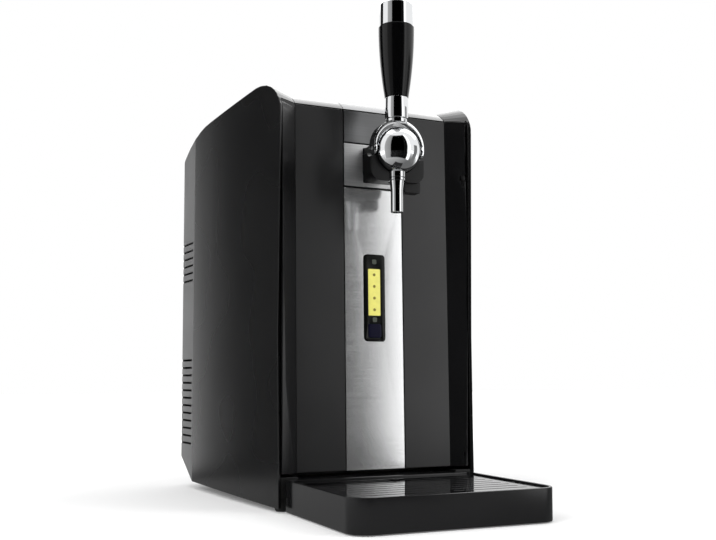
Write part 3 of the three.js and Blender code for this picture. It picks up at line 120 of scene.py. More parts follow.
class Axis(Enum):
    """The axis that a turned piece is turned about."""

    Y = "Y"
    Z = "Z"

    def upright(self) -> Matrix:
        """The turn that brings the Z axis to this axis."""
        turns = {Axis.Y: Matrix.Rotation(-math.pi / 2, 4, "X"), Axis.Z: Matrix.Identity(4)}
        return turns[self]


class Element(str, Enum):
    """What can be picked in edit mode."""

    EDGE = "EDGE"
    FACE = "FACE"


# Shader nodes and finishes


@dataclass(frozen=True)
class Pattern:
    """A noise pattern: about how many grains it has a metre, and how much finer detail."""

    scale: float
    detail: float = 2


class NodeGraph:
    """A short way to add shader nodes to a tree and to join them."""

    def __init__(self, tree: bpy.types.NodeTree) -> None:
        """Works on one node tree."""
        self.tree = tree

    def add(
        self,
        kind: str,
        inputs: Mapping[str | int, Any] | None = None,
        **settings: Any,
    ) -> bpy.types.Node:
        """Adds a node.

        Args:
            kind: the node's type without its leading ShaderNode.
            inputs: for each input, a value or the output that feeds it.
            settings: the node's own properties.

        Returns:
            The new node.
        """
        node = self.tree.nodes.new(f"ShaderNode{kind}")
        for key, value in settings.items():
            setattr(node, key, value)
        self.feed(node, inputs or {})
        return node

    def feed(self, node: bpy.types.Node, inputs: Mapping[str | int, Any]) -> None:
        """Sets a node's inputs to values, or joins them to outputs.

        Args:
            node: the node.
            inputs: for each input, a value or the output that feeds it.
        """
        for key, value in inputs.items():
            if isinstance(value, Socket):
                self.tree.links.new(value, node.inputs[key])
            else:
                node.inputs[key].default_value = value

    def noise(self, place: Socket, pattern: Pattern) -> Socket:
        """A noise pattern's value at each place."""
        inputs = {"Vector": place, "Scale": pattern.scale, "Detail": pattern.detail}
        return self.add("TexNoise", inputs).outputs["Fac"]

    def spread(self, value: Socket, source: Span, target: Span) -> Socket:
        """Takes a value from one range to another.

        Args:
            value: the value.
            source: the range that it is taken from; what lies outside is held at its ends.
            target: the range that it is taken to.

        Returns:
            The new value.
        """
        inputs = {
            "Value": value,
            "From Min": source[0],
            "From Max": source[1],
            "To Min": target[0],
            "To Max": target[1],
        }
        return self.add("MapRange", inputs).outputs["Result"]

    def between(self, value: Socket, low: float, high: float) -> Socket:
        """A noise pattern's middle range spread between two numbers."""
        return self.spread(value, NOISE_MIDDLE, (low, high))

    def shades(self, value: Socket, colour: Colour, change: float) -> Socket:
        """A colour that goes a little darker and lighter with a noise pattern.

        Args:
            value: the pattern.
            colour: the colour.
            change: how much darker and lighter it goes, as a share of the colour.

        Returns:
            The colour at each place.
        """
        dark = (*(c * (1 - change) for c in colour), 1)
        pale = (*(min(1, c * (1 + change)) for c in colour), 1)
        inputs = {0: self.between(value, 0, 1), MIX_A: dark, MIX_B: pale}
        return self.add("Mix", inputs, data_type="RGBA").outputs[MIX_RESULT]

    def bump(self, height: Socket, depth: float, strength: float) -> Socket:
        """The normal that a relief of a depth gives the surface."""
        inputs = {"Strength": strength, "Distance": depth, "Height": height}
        return self.add("Bump", inputs).outputs["Normal"]

    def away(self) -> Socket:
        """How far each point lies from the object's origin."""
        place = self.add("TexCoord").outputs["Object"]
        return self.add("VectorMath", {0: place}, operation="LENGTH").outputs["Value"]

    def seen(self) -> Socket:
        """Tells the rays that show the surround from those that only light.

        Returns:
            One for rays from the camera, a mirror or glass, and zero for all others.
        """
        path = self.add("LightPath")
        names = ("Is Camera Ray", "Is Glossy Ray", "Is Transmission Ray")
        first, *others = (path.outputs[name] for name in names)
        for other in others:
            first = self.add("Math", {0: first, 1: other}, operation="MAXIMUM").outputs[0]
        return first


@dataclass(frozen=True)
class Finish(ABC):
    """What every finish has: its name, its colour and how rough it is."""

    name: str
    colour: Colour
    roughness: float

    def material(self) -> bpy.types.Material:
        """Makes the finish's material the first time, and then shares it.

        Returns:
            The material.
        """
        made = bpy.data.materials.get(self.name)
        if made is None:
            made = bpy.data.materials.new(self.name)
            made.use_nodes = True
            graph = NodeGraph(made.node_tree)
            place = graph.add("TexCoord").outputs["Object"]
            graph.feed(made.node_tree.nodes["Principled BSDF"], self.looks(graph, place))
        return made

    @abstractmethod
    def looks(self, graph: NodeGraph, place: Socket) -> Mapping[str, Any]:
        """Adds the finish's nodes.

        Args:
            graph: the material's nodes.
            place: each point's place on the object, in metres.

        Returns:
            For each input of the shader, a value or the output that feeds it.
        """


@dataclass(frozen=True)
class Plastic(Finish):
    """Moulded plastic: a fine grain, a faint mottle and slightly uneven gloss."""

    grain: float = 0.35 * MM
    depth: float = 0.012 * MM
    mottle: float = 0.06
    unevenness: float = 0.04
    coat: float = 0.0
    specular: float = 0.5
    relief: float = 0.6
    coat_roughness: float = 0.06
    clouds: Pattern = Pattern(22, 3)
    smears: Pattern = Pattern(14, 0)

    def looks(self, graph: NodeGraph, place: Socket) -> Mapping[str, Any]:
        """Adds the mottle, the uneven gloss and the grain.

        Args:
            graph: the material's nodes.
            place: each point's place on the object.

        Returns:
            What feeds each input of the shader.
        """
        cloud = graph.noise(place, self.clouds)
        smear = graph.noise(place, self.smears)
        grain = graph.noise(place, Pattern(1 / self.grain, detail=1))
        low, high = self.roughness - self.unevenness, self.roughness + self.unevenness
        return {
            "Base Color": graph.shades(cloud, self.colour, self.mottle),
            "Roughness": graph.between(smear, low, high),
            "Normal": graph.bump(grain, self.depth, self.relief),
            "Specular IOR Level": self.specular,
            "Coat Weight": self.coat,
            "Coat Roughness": self.coat_roughness,
        }


@dataclass(frozen=True)
class Metal(Finish):
    """Metal with fine lines left by brushing or drawing, along one axis."""

    line: Point = (0.25 * MM, 0.25 * MM, 40 * MM)  # how far the lines run along each axis
    depth: float = 0.004 * MM
    unevenness: float = 0.05
    mottle: float = 0.05
    metallic: float = 1.0
    relief: float = 0.5
    lines: Pattern = Pattern(1, 3)
    clouds: Pattern = Pattern(35, 3)

    def looks(self, graph: NodeGraph, place: Socket) -> Mapping[str, Any]:
        """Adds the lines to the colour, the gloss and the relief.

        Args:
            graph: the material's nodes.
            place: each point's place on the object.

        Returns:
            What feeds each input of the shader.
        """
        scale = tuple(1 / size for size in self.line)
        stretched = graph.add("Mapping", {"Vector": place, "Scale": scale}).outputs["Vector"]
        lines = graph.noise(stretched, self.lines)
        cloud = graph.noise(place, self.clouds)
        total = graph.add("Math", {0: lines, 1: cloud}, operation="ADD").outputs[0]
        mean = graph.add("Math", {0: total, 1: 0.5}, operation="MULTIPLY").outputs[0]
        low, high = self.roughness - self.unevenness, self.roughness + self.unevenness
        return {
            "Base Color": graph.shades(lines, self.colour, self.mottle),
            "Metallic": self.metallic,
            "Roughness": graph.between(mean, low, high),
            "Normal": graph.bump(lines, self.depth, self.relief),
        }


@dataclass(frozen=True)
class Chrome(Finish):
    """Bright plating with a faint haze where hands and water touch it."""

    haze: float = 0.05
    mottle: float = 0.02
    clouds: Pattern = Pattern(70, 5)
    scratches: Pattern = Pattern(1500)

    def looks(self, graph: NodeGraph, place: Socket) -> Mapping[str, Any]:
        """Adds the haze to the gloss and to the colour.

        Args:
            graph: the material's nodes.
            place: each point's place on the object.

        Returns:
            What feeds each input of the shader.
        """
        cloud = graph.noise(place, self.clouds)
        fine = graph.noise(place, self.scratches)
        return {
            "Base Color": graph.shades(fine, self.colour, self.mottle),
            "Metallic": 1,
            "Roughness": graph.between(cloud, self.roughness, self.roughness + self.haze),
        }


@dataclass(frozen=True)
class Foam(Finish):
    """Rigid insulating foam, with small closed cells and a slightly yellowed skin."""

    cell: float = 1.6 * MM
    depth: float = 0.25 * MM
    relief: float = 0.8
    stain: float = 0.1
    unevenness: float = 0.05
    clouds: Pattern = Pattern(25, 4)

    def looks(self, graph: NodeGraph, place: Socket) -> Mapping[str, Any]:
        """Adds the cells and the stains.

        Args:
            graph: the material's nodes.
            place: each point's place on the object.

        Returns:
            What feeds each input of the shader.
        """
        cells = graph.add("TexVoronoi", {"Vector": place, "Scale": 1 / self.cell})
        cloud = graph.noise(place, self.clouds)
        return {
            "Base Color": graph.shades(cloud, self.colour, self.stain),
            "Roughness": graph.between(cloud, self.roughness - self.unevenness, self.roughness),
            "Normal": graph.bump(cells.outputs["Distance"], self.depth, self.relief),
        }


@dataclass(frozen=True)
class Board(Finish):
    """A printed circuit board: lacquer over copper tracks."""

    pitch: float = 4 * MM
    track: Colour = (0.03, 0.16, 0.06)
    track_share: float = 0.06  # how much of the pitch a track takes
    shade: float = 0.8  # every other field's colour as a share of the first
    depth: float = 0.05 * MM
    relief: float = 0.4
    dullest: float = 0.6  # the roughness of the lacquer's dull patches
    clouds: Pattern = Pattern(90)

    def looks(self, graph: NodeGraph, place: Socket) -> Mapping[str, Any]:
        """Adds the tracks in the plane of the board.

        Args:
            graph: the material's nodes.
            place: each point's place on the object.

        Returns:
            What feeds each input of the shader.
        """
        upright = {"Vector": place, "Rotation": (math.pi / 2, 0, 0)}
        inputs = {
            "Vector": graph.add("Mapping", upright).outputs["Vector"],
            "Scale": 1 / self.pitch,
            "Mortar Size": self.track_share,
            "Color1": (*self.colour, 1),
            "Color2": (*(c * self.shade for c in self.colour), 1),
            "Mortar": (*self.track, 1),
        }
        tracks = graph.add("TexBrick", inputs)
        cloud = graph.noise(place, self.clouds)
        return {
            "Base Color": tracks.outputs["Color"],
            "Roughness": graph.between(cloud, self.roughness, self.dullest),
            "Normal": graph.bump(tracks.outputs["Fac"], self.depth, self.relief),
        }


@dataclass(frozen=True)
class Lit(Finish):
    """A back-lit display film under a clear coat, a little uneven."""

    glow: float = 0.5
    mottle: float = 0.05
    unevenness: float = 0.1
    coat: float = 0.6
    coat_roughness: float = 0.04
    clouds: Pattern = Pattern(180, 3)

    def looks(self, graph: NodeGraph, place: Socket) -> Mapping[str, Any]:
        """Adds the unevenness of the light to the film's colour and glow.

        Args:
            graph: the material's nodes.
            place: each point's place on the object.

        Returns:
            What feeds each input of the shader.
        """
        cloud = graph.noise(place, self.clouds)
        tinted = graph.shades(cloud, self.colour, self.mottle)
        return {
            "Base Color": tinted,
            "Emission Color": tinted,
            "Emission Strength": self.glow,
            "Roughness": graph.between(cloud, self.roughness, self.roughness + self.unevenness),
            "Coat Weight": self.coat,
            "Coat Roughness": self.coat_roughness,
        }


ACROSS = (70 * MM, 0.25 * MM, 0.25 * MM)  # brushed from side to side

SHELL_GREY = Plastic(
    "shell_plastic_satin", (0.0055, 0.0055, 0.0058), 0.27, depth=0.0015 * MM, unevenness=0.015
)
BEVEL_BLACK = Plastic(
    "door_plastic_semigloss", (0.0065, 0.0065, 0.007), 0.22, depth=0.003 * MM, specular=0.4
)
FASCIA_GREY = Plastic(
    "fascia_satin", (0.0155, 0.0155, 0.016), 0.32, 0.25 * MM, 0.005 * MM, unevenness=0.03
)
HOUSING_GREY = Plastic("housing_plastic_grained", (0.14, 0.14, 0.141), 0.45, 0.7 * MM, 0.02 * MM)
GLOSS_BLACK = Plastic(
    "plastic_black_gloss", (0.003, 0.0035, 0.003), 0.1, depth=0.001 * MM, specular=0.25
)
GRIP_BLACK = Plastic("grip_black", (0.0015, 0.0015, 0.0017), 0.14, depth=0.001 * MM, specular=0.3)
LID_GLOSS = Plastic("lid_plastic_gloss", (0.0085, 0.0085, 0.009), 0.17, depth=0.002 * MM, coat=0.5)
TRAY_BLACK = Plastic("tray_black", (0.007, 0.007, 0.0075), 0.17, depth=0.002 * MM)
GRID_GLOSS = Plastic(
    "grid_gloss_black", (0.004, 0.004, 0.0045), 0.06, depth=0.0005 * MM, specular=0.35
)
BLACK = Plastic("plastic_black_satin", (0.007, 0.007, 0.007), 0.38, depth=0.008 * MM)
BRACKET_BLACK = Plastic(
    "bracket_black", (0.003, 0.003, 0.0033), 0.33, depth=0.004 * MM, specular=0.35
)
BLACK_PAINT = Plastic("steel_painted_black", (0.006, 0.006, 0.006), 0.42, depth=0.006 * MM)
BUTTON_BLUE = Plastic(
    "button_blue_black", (0.005, 0.005, 0.016), 0.2, depth=0.002 * MM, specular=0.12
)
INNER_GREY = Plastic("inner_plastic_grey", (0.26, 0.275, 0.285), 0.4)
RUBBER = Plastic("rubber_black", (0.016, 0.016, 0.016), 0.75, 0.5 * MM, 0.04 * MM)
CERAMIC = Plastic("ceramic_white", (0.78, 0.78, 0.75), 0.6)
PRINT = Plastic("display_print", (0.2, 0.17, 0.02), 0.4, mottle=0.1)
PALE_PRINT = Plastic("display_print_pale", (0.055, 0.065, 0.05), 0.4, mottle=0.1)
FOAM = Foam("insulating_foam", (0.78, 0.71, 0.55), 0.92)
BRUSHED = Metal(
    "metal_brushed", (0.8, 0.805, 0.81), 0.12, ACROSS, 0.025 * MM, 0.02, 0.03, metallic=0.87
)
DARK_METAL = Metal(
    "metal_dark_brushed", (0.2, 0.202, 0.205), 0.34, ACROSS, 0.015 * MM, mottle=0.12
)
# Painted light: a far paler copy of the upper plate's dark metal, to make up for the shade and the dark
# reflections of the ball and bracket on the tap plate.
TAP_METAL_PAINTED_LIGHT = Metal("metal_tap_plate_painted_light", (0.93, 0.932, 0.935), 0.58, ACROSS, 0.015 * MM, mottle=0.12)
BAND_METAL = Metal("metal_band", (0.22, 0.222, 0.225), 0.34, ACROSS, 0.02 * MM)
STEEL = Metal("steel_drawn", (0.5, 0.505, 0.51), 0.34, (0.4 * MM, 0.4 * MM, 8 * MM))
ALUMINIUM = Metal("aluminium_extruded", (0.62, 0.625, 0.63), 0.38, (0.3 * MM, 0.3 * MM, 60 * MM))
CHROME = Chrome("chrome_plate", (0.82, 0.83, 0.84), 0.03)
CIRCUIT = Board("board_green_lacquer", (0.02, 0.1, 0.035), 0.4)
DISPLAY_LIT = Lit("display_film_lit", (0.66, 0.62, 0.14), 0.3, glow=0.29)


# Modelling


@dataclass(frozen=True)
class Box:
    """A box along the axes."""

    low: Vector
    high: Vector

    @classmethod
    def of(cls, node: str) -> Box:
        """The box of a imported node."""
        return cls(*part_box(node))

    @property
    def centre(self) -> Vector:
        """The middle of the box."""
        return (self.low + self.high) / 2

    @property
    def size(self) -> Vector:
        """The box's extent along each axis."""
        return self.high - self.low


def deselect() -> None:
    """Leaves nothing selected and no object active."""
    bpy.ops.object.select_all(action="DESELECT")
    bpy.context.view_layer.objects.active = None


def choose(piece: bpy.types.Object) -> None:
    """Leaves one object selected and active.

    Args:
        piece: the object.
    """
    deselect()
    piece.select_set(True)
    bpy.context.view_layer.objects.active = piece


def body_of(node: str) -> Body:
    """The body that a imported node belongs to."""
    groups = frame["record"]["behaviour"]["bodies"]
    return Body(next(body for body, members in groups.items() if node in members))


def joint_place(name: str) -> Vector:
    """A point on a joint's axis."""
    return Vector(next(joint["pos_m"] for joint in frame["joints"] if joint["name"] == name))


def joint_axis(name: str) -> Vector:
    """The way a joint's axis points."""
    return Vector(next(joint["axis"] for joint in frame["joints"] if joint["name"] == name))


def quarter_turn(steps: int) -> list[float]:
    """Even angles over a quarter turn, with both its ends."""
    return [math.pi / 2 * i / steps for i in range(steps + 1)]


@contextmanager
def editing(piece: bpy.types.Object) -> Iterator[None]:
    """Edit mode on one object, left again at the end.

    Args:
        piece: the object.

    Returns:
        The context.
    """
    choose(piece)
    bpy.ops.object.mode_set(mode="EDIT")
    try:
        yield
    finally:
        bpy.ops.object.mode_set(mode="OBJECT")


class Workpiece:
    """One new piece, shaped by modelling operators and then put on the body that carries it."""

    def __init__(self, name: str, made: bpy.types.Object) -> None:
        """Takes a new mesh object under a name.

        Args:
            name: the piece's name.
            made: the object.
        """
        self.object = made
        made.name = name
        made.data.name = name

    @classmethod
    def block(cls, name: str, box: Box) -> Workpiece:
        """A block that fills a box.

        Args:
            name: the piece's name.
            box: the box.

        Returns:
            The piece.
        """
        deselect()
        bpy.ops.mesh.primitive_cube_add(size=1, location=box.centre)
        made = bpy.context.active_object
        made.scale = box.size
        return cls(name, made).settled()

    @classmethod
    def globe(cls, name: str, radius: float, centre: Vector, segments: int) -> Workpiece:
        """A ball about an upright axis.

        Args:
            name: the piece's name.
            radius: the ball's radius.
            centre: its middle.
            segments: the number of sides round it.

        Returns:
            The piece.
        """
        deselect()
        bpy.ops.mesh.primitive_uv_sphere_add(
            radius=radius, segments=segments, ring_count=segments // 2, location=centre
        )
        return cls(name, bpy.context.active_object).settled()

    @classmethod
    def turned(
        cls,
        name: str,
        profile: Sequence[Station],
        centre: Vector,
        axis: Axis = Axis.Z,
        segments: int = 48,
    ) -> Workpiece:
        """A turned piece, drawn out of a disc station by station.

        Args:
            name: the piece's name.
            profile: radius and height of each station, from one end to the other.
            centre: the place of height zero.
            axis: the axis it is turned about.
            segments: the number of sides round it.

        Returns:
            The piece, closed at both ends.
        """
        deselect()
        (radius, height), *stations = profile
        bpy.ops.mesh.primitive_circle_add(
            vertices=segments, radius=radius, fill_type="NGON", location=(0, 0, height)
        )
        made = cls(name, bpy.context.active_object).settled()
        with editing(made.object):
            bpy.ops.mesh.select_all(action="SELECT")
            for wider, higher in stations:
                rise = {"value": (0, 0, higher - height)}
                bpy.ops.mesh.extrude_region_move(TRANSFORM_OT_translate=rise)
                ratio = wider / radius
                bpy.ops.transform.resize(value=(ratio, ratio, 1), center_override=(0, 0, higher))
                radius, height = wider, higher
        made.outward()
        return made.moved(Matrix.Translation(centre) @ axis.upright())

    @classmethod
    def carried(cls, node: str) -> Workpiece:
        """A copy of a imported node, joined up into even triangles and ready to be rounded.

        Args:
            node: the node.

        Returns:
            The piece.
        """
        blank = bpy.data.objects.new(f"{node}_finished", frame["nodes"][node].data.copy())
        bpy.context.scene.collection.objects.link(blank)
        blank.data.materials.clear()
        made = cls(blank.name, blank)
        with editing(blank):
            bpy.ops.mesh.select_all(action="SELECT")
            bpy.ops.mesh.remove_doubles(threshold=MERGE)
            bpy.ops.mesh.dissolve_limited(angle_limit=FLAT)
            bpy.ops.mesh.quads_convert_to_tris(quad_method="BEAUTY", ngon_method="BEAUTY")
        return made

    def settled(self) -> Workpiece:
        """Moves the piece's place, turn and size into its mesh.

        Returns:
            The piece.
        """
        choose(self.object)
        bpy.ops.object.transform_apply(location=True, rotation=True, scale=True)
        return self

    def moved(self, matrix: Matrix) -> Workpiece:
        """The piece after a move or turn, with its place in its mesh."""
        self.object.matrix_world = matrix
        return self.settled()

    def outward(self) -> Workpiece:
        """Turns all of the piece's faces out.

        Returns:
            The piece.
        """
        with editing(self.object):
            bpy.ops.mesh.select_all(action="SELECT")
            bpy.ops.mesh.normals_make_consistent(inside=False)
        return self

    @contextmanager
    def picked(self, element: Element, test: FaceTest | EdgeTest) -> Iterator[None]:
        """Edit mode with only the edges or faces that pass a test selected.

        Args:
            element: whether edges or faces are picked.
            test: tells which ones.

        Returns:
            The context.
        """
        with editing(self.object):
            bpy.ops.mesh.select_mode(type=element.value)
            bpy.ops.mesh.select_all(action="DESELECT")
            mesh = bmesh.from_edit_mesh(self.object.data)
            for part in mesh.faces if element is Element.FACE else mesh.edges:
                part.select_set(test(part))
            bmesh.update_edit_mesh(self.object.data)
            yield

    def modified(self, kind: str, **settings: Any) -> Workpiece:
        """Adds a modifier and applies it at once.

        Args:
            kind: the modifier's type.
            settings: its properties.

        Returns:
            The piece.
        """
        choose(self.object)
        modifier = self.object.modifiers.new(kind.title(), kind)
        for key, value in settings.items():
            setattr(modifier, key, value)
        bpy.ops.object.modifier_apply(modifier=modifier.name)
        return self

    def rounded(self, width: float, segments: int = 2) -> Workpiece:
        """Rounds the piece's sharp edges.

        Args:
            width: how far from the edge the rounding starts.
            segments: the number of steps in it.

        Returns:
            The piece.
        """
        return self.modified(
            "BEVEL",
            width=width,
            segments=segments,
            limit_method="ANGLE",
            angle_limit=CREASE,
            use_clamp_overlap=False,
            miter_outer="MITER_SHARP",
        )

    def joined(self, other: Workpiece) -> Workpiece:
        """Joins another piece to this one.

        Args:
            other: the other piece, which is used up.

        Returns:
            The piece.
        """
        self.modified("BOOLEAN", operation="UNION", object=other.object, solver="EXACT")
        bpy.data.objects.remove(other.object)
        return self

    def smooth(self, even: bool = True) -> Workpiece:
        """Shades the piece smooth up to its creases.

        Args:
            even: whether flat faces are kept flat beside rounded edges.

        Returns:
            The piece.
        """
        choose(self.object)
        bpy.ops.object.shade_smooth_by_angle(angle=CREASE)
        if even:
            self.modified("WEIGHTED_NORMAL", keep_sharp=True, weight=FACE_WEIGHT)
        return self

    def fit(self, finish: Finish, slot: Slot, body: Body, *nodes: str) -> Workpiece:
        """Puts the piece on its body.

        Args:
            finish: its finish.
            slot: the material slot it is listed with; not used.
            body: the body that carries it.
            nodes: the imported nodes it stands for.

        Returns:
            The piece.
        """
        self.object.data.materials.clear()
        self.object.data.materials.append(finish.material())
        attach(self.object, body.value)
        if nodes:
            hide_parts(*nodes)
        faces = len(self.object.data.polygons)
        LOG.info("%s: %d faces on %s", self.object.name, faces, body.value)
        return self


def dress(node: str, finish: Finish) -> None:
    """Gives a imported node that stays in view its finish.

    Args:
        node: the node.
        finish: its finish.
    """
    for holder in frame["nodes"][node].material_slots:
        holder.material = finish.material()
    LOG.info("%s: kept, in %s", node, finish.name)


def carry(node: str, finish: Finish, slot: Slot, rounding: float = 0) -> Workpiece:
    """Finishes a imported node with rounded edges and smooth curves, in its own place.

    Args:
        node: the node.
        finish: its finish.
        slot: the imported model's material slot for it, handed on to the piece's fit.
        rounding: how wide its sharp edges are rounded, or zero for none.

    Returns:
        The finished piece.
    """
    made = Workpiece.carried(node)
    if rounding:
        made.rounded(rounding)
    return made.smooth().fit(finish, slot, body_of(node), node)


class Assembly(ABC):
    """A sub-assembly that can be built."""

    @abstractmethod
    def build(self) -> None:
        """Builds and finishes the sub-assembly's pieces."""


@dataclass
class Cabinet(Assembly):
    """The outer shells, the base with its feet, and the rear housing with its screws and inlet."""

    shell_rounding: float = 0.5 * MM
    housing_rounding: float = 0.3 * MM
    base_rounding: float = 0.5 * MM
    small_rounding: float = 0.3 * MM
    foot_chamfer: float = 1.2 * MM
    foot_ring_share: float = 0.55  # of the foot's radius
    screws: int = 4

    def build(self) -> None:
        """Finishes the shells, then everything fixed to them."""
        for side in ("left", "right"):
            carry(f"side_shell_{side}", SHELL_GREY, Slot.SHELL, self.shell_rounding)
        carry("rear_housing", HOUSING_GREY, Slot.HOUSING, self.housing_rounding)
        carry("base_pan", BLACK, Slot.BLACK, self.base_rounding)
        carry("mains_inlet", BLACK, Slot.BLACK, self.small_rounding)
        for place in ("front_left", "front_right", "rear_left", "rear_right"):
            self.foot(f"foot_{place}")
        for number in range(1, self.screws + 1):
            carry(f"housing_screw_{number}", STEEL, Slot.STEEL, self.small_rounding)

    def foot(self, node: str) -> None:
        """Makes a round rubber pad with a chamfered sole and a shallow ring in it.

        Args:
            node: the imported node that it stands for.
        """
        box = Box.of(node)
        radius = box.size.x / 2
        ring = self.foot_ring_share * radius
        profile = [
            (ring, self.foot_chamfer),
            (ring, 0),
            (radius - self.foot_chamfer, 0),
            (radius, self.foot_chamfer),
            (radius, box.size.z),
        ]
        centre = Vector((box.centre.x, box.centre.y, box.low.z))
        made = Workpiece.turned(f"{node}_pad", profile, centre).smooth()
        made.fit(RUBBER, Slot.FOOT, body_of(node), node)


@dataclass
class Works(Assembly):
    """What the cabinet holds: the chamber, its cooling, its air supply, and frames and hinges."""

    rounding: float = 0.4 * MM
    frame_rounding: float = 0.2 * MM

    def build(self) -> None:
        """Finishes each inner part."""
        carry("chamber_liner", INNER_GREY, Slot.INNER, self.rounding)
        carry("top_frame", BLACK, Slot.BLACK, self.frame_rounding)
        for node in ("front_frame", "fan_frame", "air_pump"):
            carry(node, BLACK, Slot.BLACK, self.rounding)
        carry("fan_rotor", BLACK, Slot.BLACK)
        carry("air_hose", RUBBER, Slot.HOSE)
        for node in ("air_fitting", "lid_hinge_rod", "door_strike"):
            carry(node, STEEL, Slot.STEEL)
        for level in ("lower", "upper"):
            carry(f"hinge_bracket_{level}", BLACK_PAINT, Slot.STEEL)
            carry(f"hinge_pin_{level}", BLACK_PAINT, Slot.STEEL)
        for node in ("cold_plate", "heat_sink"):
            carry(node, ALUMINIUM, Slot.ALUMINIUM)
        carry("thermoelectric_module", CERAMIC, Slot.CERAMIC, self.rounding)
        dress("foam_jacket", FOAM)
        carry("control_board", CIRCUIT, Slot.BOARD)


@dataclass
class Door(Assembly):
    """The door's moulding, its lining and seal, and the panels and plates on its face."""

    shell_rounding: float = 0.4 * MM
    panel_rounding: float = 0.5 * MM
    plate_rounding: float = 0.3 * MM

    def build(self) -> None:
        """Finishes the moulding and what lies in it, then its face."""
        carry("door_shell", BEVEL_BLACK, Slot.SHELL, self.shell_rounding)
        carry("door_liner", INNER_GREY, Slot.INNER, self.plate_rounding)
        carry("door_seal", RUBBER, Slot.SEAL, self.plate_rounding)
        dress("door_foam", FOAM)
        for side in ("left", "right"):
            carry(f"door_fascia_{side}", FASCIA_GREY, Slot.FASCIA, self.panel_rounding)
        carry("metal_strip", BRUSHED, Slot.BRUSHED, self.plate_rounding)
        carry("upper_plate", DARK_METAL, Slot.DARK_METAL, self.plate_rounding)
        # the tap plate takes a paler copy of the dark metal: painted light against the ball's and bracket's shade
        carry("tap_plate", TAP_METAL_PAINTED_LIGHT, Slot.DARK_METAL, self.plate_rounding)


@dataclass
class Display(Assembly):
    """The lit display with its marks, and the push button under it."""

    rounding: float = 0.35 * MM
    levels: int = 4
    mark_radius: float = 1.5 * MM
    mark_sides: int = 20
    mark_height: float = 0.12 * MM
    sign_half: float = 2.4 * MM
    sign_corner: float = 1.2 * MM
    sign_segments: int = 4
    sign_line: float = 0.5 * MM
    sign_hollow: float = 0.06 * MM

    def build(self) -> None:
        """Finishes the bezel, the film and the button, and adds the marks."""
        carry("display_bezel", GLOSS_BLACK, Slot.GLOSS, self.rounding)
        carry("display_lens", DISPLAY_LIT, Slot.DISPLAY, self.rounding / 2)
        carry("display_button", BUTTON_BLUE, Slot.GLOSS, self.rounding)
        carry("display_board", CIRCUIT, Slot.BOARD)
        self.level_marks()
        self.signs()

    def set_on(self, node: str, mark: Workpiece, height: float, finish: Finish) -> None:
        """Sets a mark on the front of a display piece, leaning back with the door's face.

        Args:
            node: the display piece.
            mark: the mark, whose front lies at zero depth.
            height: the height of the mark's middle.
            finish: its finish.
        """
        box = Box.of(node)
        lean = math.asin(-joint_axis("button_press").z)
        depth = (height - box.low.z) * math.tan(lean)
        place = Vector((0, box.low.y + depth - self.mark_height, height))
        mark.moved(Matrix.Translation(place) @ Matrix.Rotation(-lean, 4, "X"))
        mark.fit(finish, Slot.GLOSS, Body.DOOR)

    def level_marks(self) -> None:
        """A column of small round marks that shows how full the keg is."""
        lens = Box.of("display_lens")
        pitch = lens.size.z / self.levels
        profile = [(self.mark_radius, 0), (self.mark_radius, self.mark_height)]
        for i in range(self.levels):
            name = f"display_level_mark_{i + 1}"
            mark = Workpiece.turned(name, profile, Vector(), Axis.Y, self.mark_sides)
            self.set_on("display_lens", mark, lens.low.z + pitch * (i + 0.5), PRINT)

    def signs(self) -> None:
        """Two small rounded signs with a raised rim, above the film and under it."""
        lens = Box.of("display_lens")
        heights = {
            "upper": (lens.high.z + Box.of("display_bezel").high.z) / 2,
            "lower": (lens.low.z + Box.of("display_button").high.z) / 2,
        }
        half = self.sign_half
        blank = Box(Vector((-half, 0, -half)), Vector((half, self.mark_height, half)))
        for name, height in heights.items():
            sign = Workpiece.block(f"display_sign_{name}", blank)
            with sign.picked(Element.EDGE, self.runs_back):
                bpy.ops.mesh.bevel(offset=self.sign_corner, segments=self.sign_segments)
            with sign.picked(Element.FACE, lambda face: face.normal.y < -FACING):
                bpy.ops.mesh.inset(thickness=self.sign_line)
                sink = {"value": (0, self.sign_hollow, 0)}
                bpy.ops.mesh.extrude_region_move(TRANSFORM_OT_translate=sink)
            self.set_on("display_bezel", sign, height, PALE_PRINT)

    def runs_back(self, edge: bmesh.types.BMEdge) -> bool:
        """Tells whether an edge runs from a sign's front to its back."""
        return abs(edge.verts[0].co.y - edge.verts[1].co.y) > self.mark_height / 2


